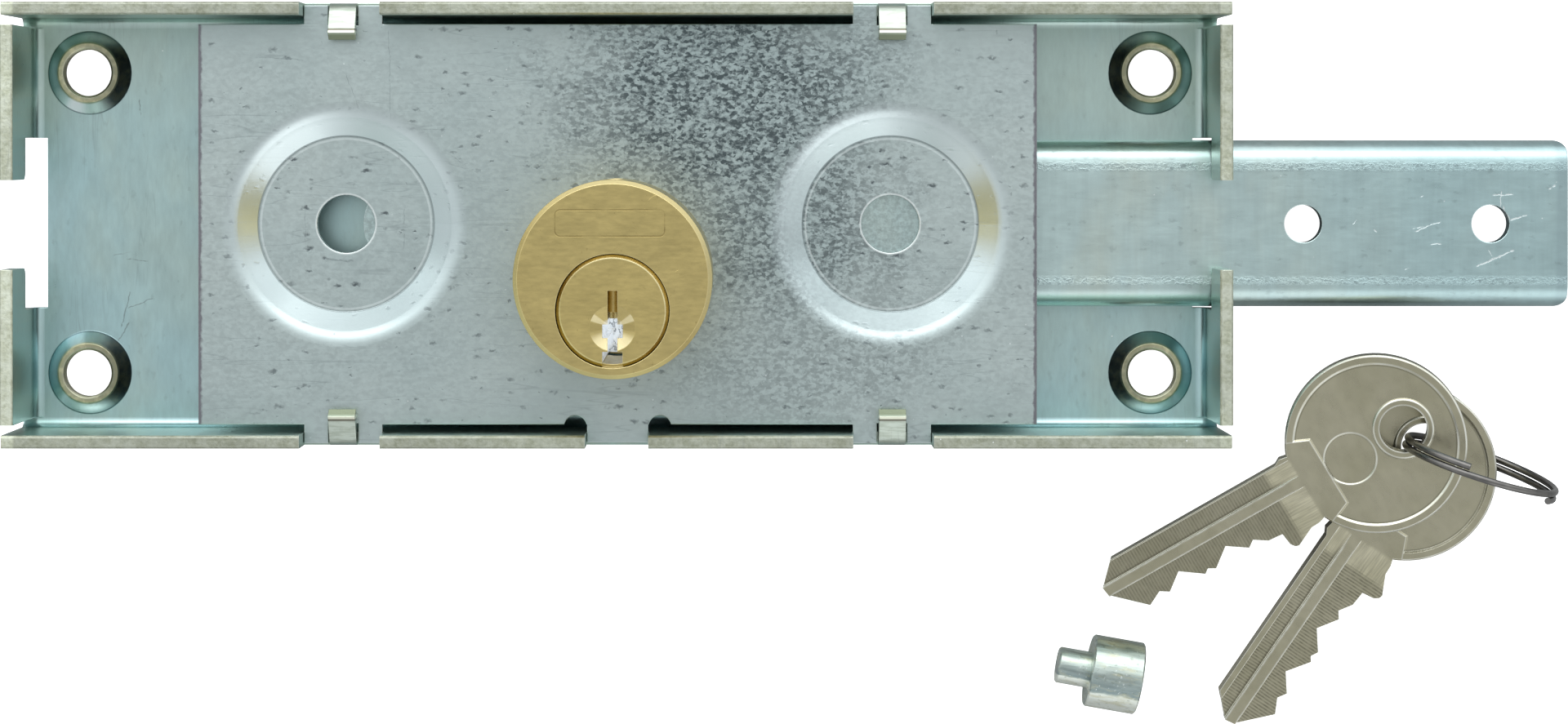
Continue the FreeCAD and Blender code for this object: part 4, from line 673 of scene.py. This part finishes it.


# Keys: stamped from nickel-plated brass strip. The coined rims and the edges carry painted highlights, with
# painted shade at the foot of the rims, and the milling cutter has left fine cross ridges in the grooves of
# the blade.
def nickel(name, place, turn, tilt, lip, dimming, chatter):
    """The finish of one key, in the key's own length, width and height."""
    material, tree, shader, point = new_finish(name)
    head_to_tip = 38.5
    raised = head_to_tip * math.sin(math.radians(tilt))
    flat = put(tree, "ShaderNodeMapping", {
        "Vector": point, "Location": place + (raised,),
        "Rotation": (0, math.radians(tilt), math.radians(turn))}, vector_type="TEXTURE").outputs[0]
    along, across, _ = split(tree, flat)
    beside = maths(tree, "ABSOLUTE", across)
    cloud = band(tree, noise(tree, flat, 0.16, 4), 0.36, 0.64)
    grain = noise(tree, flat, 0.5, 2, (1.5, 0.8, 1))
    tone = mix(tree, cloud, (0.440, 0.412, 0.292, 1), (0.500, 0.468, 0.345, 1))
    tone = tinted(tree, tone, band(tree, grain, 0.3, 0.7, 0.975, 1.025))
    low = between(tree, across, -3.85 + lip + 0.08, -1.45, 0.05)
    high = band(tree, across, 0.18, 0.26)
    groove = maths(tree, "MAXIMUM", low, high)
    milled = times(tree, groove, band(tree, along, 13.2, 14.2))
    run_out = times(tree, groove, between(tree, along, 10.4, 13.6, 0.4))
    wavy = maths(tree, "ADD", times(tree, along, 16.5), times(tree, noise(tree, flat, 0.4, 2), 3.0))
    ridges = band(tree, maths(tree, "SINE", wavy), -0.8, 0.9)
    torn = band(tree, noise(tree, flat, 1.2, 4), 0.38, 0.62)
    tone = mix(tree, milled, tone, tinted(tree, tone, dimming))
    patchy = band(tree, torn, 0, 1, 0.45, 1.0)
    tone = tinted(tree, tone, maths(tree, "SUBTRACT", 1.0, times(tree, milled, ridges, patchy, chatter)))
    drawn = band(tree, noise(tree, flat, 1.0, 3, (0.25, 5.0, 1)), 0.35, 0.65, 1.04, 1.42)
    tone = mix(tree, run_out, tone, tinted(tree, tone, drawn))
    pad_side = maths(tree, "SUBTRACT", beside, band(tree, along, 6.8, 9.6, 4.5, 5.7))
    in_pad = times(tree, band(tree, along, 6.75, 6.85), band(tree, pad_side, 0.0, 0.08, 1.0, 0.0))
    on_head = maths(tree, "SUBTRACT", 1.0, in_pad)
    _, reach = from_place(tree, flat, 0.0, 0.0)
    hole_along, disc_along = -3.9, 3.6
    _, to_hole = from_place(tree, flat, hole_along, 0.0)
    _, to_disc = from_place(tree, flat, disc_along, 0.0)
    # Painted shade: dark lines at the foot of the raised rims round the head, the hole and the disc.
    dark = 0.0
    for away, radius, share in ((reach, 9.85, 1.0), (to_hole, 3.82, 1.0), (to_disc, 3.08, 0.7)):
        line = between(tree, away, radius - 0.04, radius + 0.04, 0.08)
        dark = maths(tree, "MAXIMUM", dark, times(tree, line, on_head, share))
    tone = mix(tree, times(tree, dark, 0.50), tone, (0.17, 0.16, 0.11, 1))
    shadow = times(tree, between(tree, across, -1.62, -1.42, 0.06), band(tree, along, 11.5, 13.0))
    tone = mix(tree, times(tree, shadow, 0.45), tone, (0.13, 0.12, 0.09, 1))
    # Painted highlights: bright lines along the rims of the head, the hole, the disc and the pad, along the
    # blade's ridges and along all sharp edges.
    rims = 0.0
    for away, radius, share in ((reach, 11.02, 0.75), (reach, 10.06, 0.75), (to_hole, 3.62, 0.75),
                                (to_hole, 2.96, 0.60), (to_disc, 3.24, 0.60)):
        line = between(tree, away, radius - 0.07, radius + 0.07, 0.07)
        rims = maths(tree, "MAXIMUM", rims, times(tree, line, share))
    rims = times(tree, rims, on_head, band(tree, noise(tree, flat, 0.35, 2), 0.3, 0.6, 0.55, 1.0))
    pad_end = times(tree, between(tree, along, 6.76, 6.86, 0.06), band(tree, beside, 4.45, 4.55, 1.0, 0.0))
    pad_flank = times(tree, between(tree, pad_side, -0.06, 0.06, 0.06), between(tree, along, 6.8, 9.6, 0.05))
    rims = maths(tree, "MAXIMUM", rims, times(tree, maths(tree, "MAXIMUM", pad_end, pad_flank), 0.42))
    shine = maths(tree, "MAXIMUM", between(tree, across, -1.36, -1.18, 0.08),
                  between(tree, across, 0.02, 0.22, 0.08))
    shine = times(tree, shine, band(tree, along, 11.0, 12.5), band(tree, torn, 0, 1, 0.4, 1.0), 0.55)
    shine = maths(tree, "MAXIMUM", shine, rims)
    shine = maths(tree, "MAXIMUM", shine, times(tree, edges(tree, 0.17, 0.985, 0.86), 0.75))
    tone = mix(tree, shine, tone, (0.93, 0.93, 0.86, 1))
    tree.links.new(tone, shader.inputs["Base Color"])
    tree.links.new(band(tree, grain, 0.3, 0.7, 0.25, 0.33), shader.inputs["Roughness"])
    relief = maths(tree, "ADD", times(tree, grain, 0.3), times(tree, milled, ridges, 2.0))
    bump(tree, shader, relief, 0.008, 0.5, 0.10)
    return material


nodes["key_1"].data.materials[0] = nickel("nickel_key_1", (93.93, -27.08), 211.1, 9.9, 0.2, 0.86, 0.32)
nodes["key_2"].data.materials[0] = nickel("nickel_key_2", (98.22, -30.90), 236.4, 4.2, 0.75, 1.02, 0.50)


# Ring: two close turns of hard steel wire, wound from one length and cut off square at both ends.
# It stands on its edge, leans a little, and passes through the holes of both keys.
wire_radius = 0.000425
coil_radius = 0.00947
first_angle, last_angle = 109.0, 752.0
turns = (last_angle - first_angle) / 360
pitch = 0.00094
ring_lean, ring_turn = 96.5, -17.5
ring_x, ring_y, off_the_table = 0.1063, -0.02995, 0.0001
bpy.ops.mesh.primitive_circle_add(vertices=16, radius=wire_radius, location=(coil_radius, 0, 0),
                                  rotation=(math.pi / 2, 0, 0))
ring = bpy.context.object
ring.name = "wound_key_ring"
bpy.ops.object.transform_apply(location=True, rotation=True, scale=True)
wind = ring.modifiers.new("wound", "SCREW")
wind.axis = "Z"
wind.angle = math.radians(360 * turns)
wind.screw_offset = pitch * turns
wind.steps = wind.render_steps = 180
wind.use_normal_calculate = True
bpy.ops.object.modifier_apply(modifier="wound")
bpy.ops.object.mode_set(mode="EDIT")
bpy.ops.mesh.select_mode(type="VERT")
bpy.ops.mesh.select_all(action="SELECT")
bpy.ops.mesh.remove_doubles(threshold=0.000001)
bpy.ops.mesh.select_all(action="DESELECT")
bpy.ops.mesh.select_non_manifold()
bpy.ops.mesh.edge_face_add()
bpy.ops.mesh.select_all(action="SELECT")
bpy.ops.mesh.normals_make_consistent(inside=False)
bpy.ops.object.mode_set(mode="OBJECT")
ring.location = (0, 0, -pitch * turns / 2)
bpy.ops.object.transform_apply(location=True)
for lean, turn in ((0, first_angle), (ring_lean, 0), (0, ring_turn)):
    ring.rotation_euler = (math.radians(lean), 0, math.radians(turn))
    bpy.ops.object.transform_apply(rotation=True)
lowest = min(vertex.co.z for vertex in ring.data.vertices)
ring.location = (ring_x, ring_y, off_the_table - lowest)
bpy.ops.object.transform_apply(location=True)
bpy.ops.object.shade_smooth_by_angle(angle=math.radians(40))
ring_steel, tree, shader, point = new_finish("dark_ring_wire")
drawn = noise(tree, point, 0.45, 2)
tone = mix(tree, band(tree, drawn, 0.35, 0.65), (0.150, 0.145, 0.140, 1), (0.215, 0.205, 0.195, 1))
tree.links.new(tone, shader.inputs["Base Color"])
tree.links.new(band(tree, drawn, 0.3, 0.7, 0.26, 0.34), shader.inputs["Roughness"])
bump(tree, shader, drawn, 0.004, 0.3)
ring.data.materials.append(ring_steel)
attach(ring, "key_ring")
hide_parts("key_ring")


# Loose stud: a head and a thinner shank, turned in one piece from steel bar and zinc plated. Faint bands run
# along it, among them a painted dark band and a painted highlight band, with specks of yellow film and a few
# bright nicks.
stud_zinc, tree, shader, point = new_finish("bright_zinc_stud")
stud_place, stud_turn, head_radius, shank_radius = (61.7, -56.3, 4.5), math.radians(170.0), 4.5, 2.25
own = put(tree, "ShaderNodeMapping", {"Vector": point, "Location": stud_place, "Rotation": (0, 0, stud_turn)},
          vector_type="TEXTURE").outputs[0]
streak = noise(tree, own, 1.0, 4, (0.35, 2.6, 2.6))
cloud = noise(tree, own, 0.5, 3)
tone = mix(tree, band(tree, cloud, 0.35, 0.65), (0.52, 0.61, 0.57, 1), (0.62, 0.69, 0.63, 1))
tone = tinted(tree, tone, band(tree, streak, 0.34, 0.66, 0.74, 1.14))
along, across, _ = split(tree, own)
ratio = maths(tree, "DIVIDE", across, band(tree, along, 3.1, 3.2, head_radius, shank_radius))
ratio = maths(tree, "ADD", ratio, band(tree, noise(tree, own, 0.5, 2), 0.3, 0.7, -0.03, 0.03))
# Painted reflections: a dark band and a highlight band along the stud.
dark_reflection_band = times(tree, band(tree, ratio, -0.30, 0.42), band(tree, ratio, 0.42, 0.50, 1.0, 0.0))
tone = mix(tree, times(tree, dark_reflection_band, 0.80), tone, (0.20, 0.27, 0.29, 1))
bright_reflection_band = between(tree, ratio, 0.52, 0.95, 0.05)
tone = mix(tree, times(tree, bright_reflection_band, 0.85), tone, (0.94, 0.98, 0.90, 1))
film = band(tree, noise(tree, own, 0.9, 3, (0.4, 1.6, 1.6)), 0.5, 0.66)
tone = mix(tree, times(tree, film, 0.55), tone, (0.62, 0.60, 0.40, 1))
specks = band(tree, noise(tree, own, 2.3, 3, (0.7, 1.5, 1.5)), 0.60, 0.68)
tone = mix(tree, times(tree, specks, 0.50), tone, (0.24, 0.29, 0.24, 1))
pecked = band(tree, noise(tree, own, 2.6, 3, (1.4, 1.0, 1.0)), 0.64, 0.70)
tone = mix(tree, times(tree, pecked, 0.6), tone, (0.90, 0.95, 0.93, 1))
tree.links.new(tone, shader.inputs["Base Color"])
tree.links.new(band(tree, streak, 0.3, 0.7, 0.30, 0.42), shader.inputs["Roughness"])
bump(tree, shader, maths(tree, "ADD", streak, times(tree, pecked, 0.6)), 0.012, 0.5, 0.08)
nodes["coupling_stud"].data.materials[0] = stud_zinc
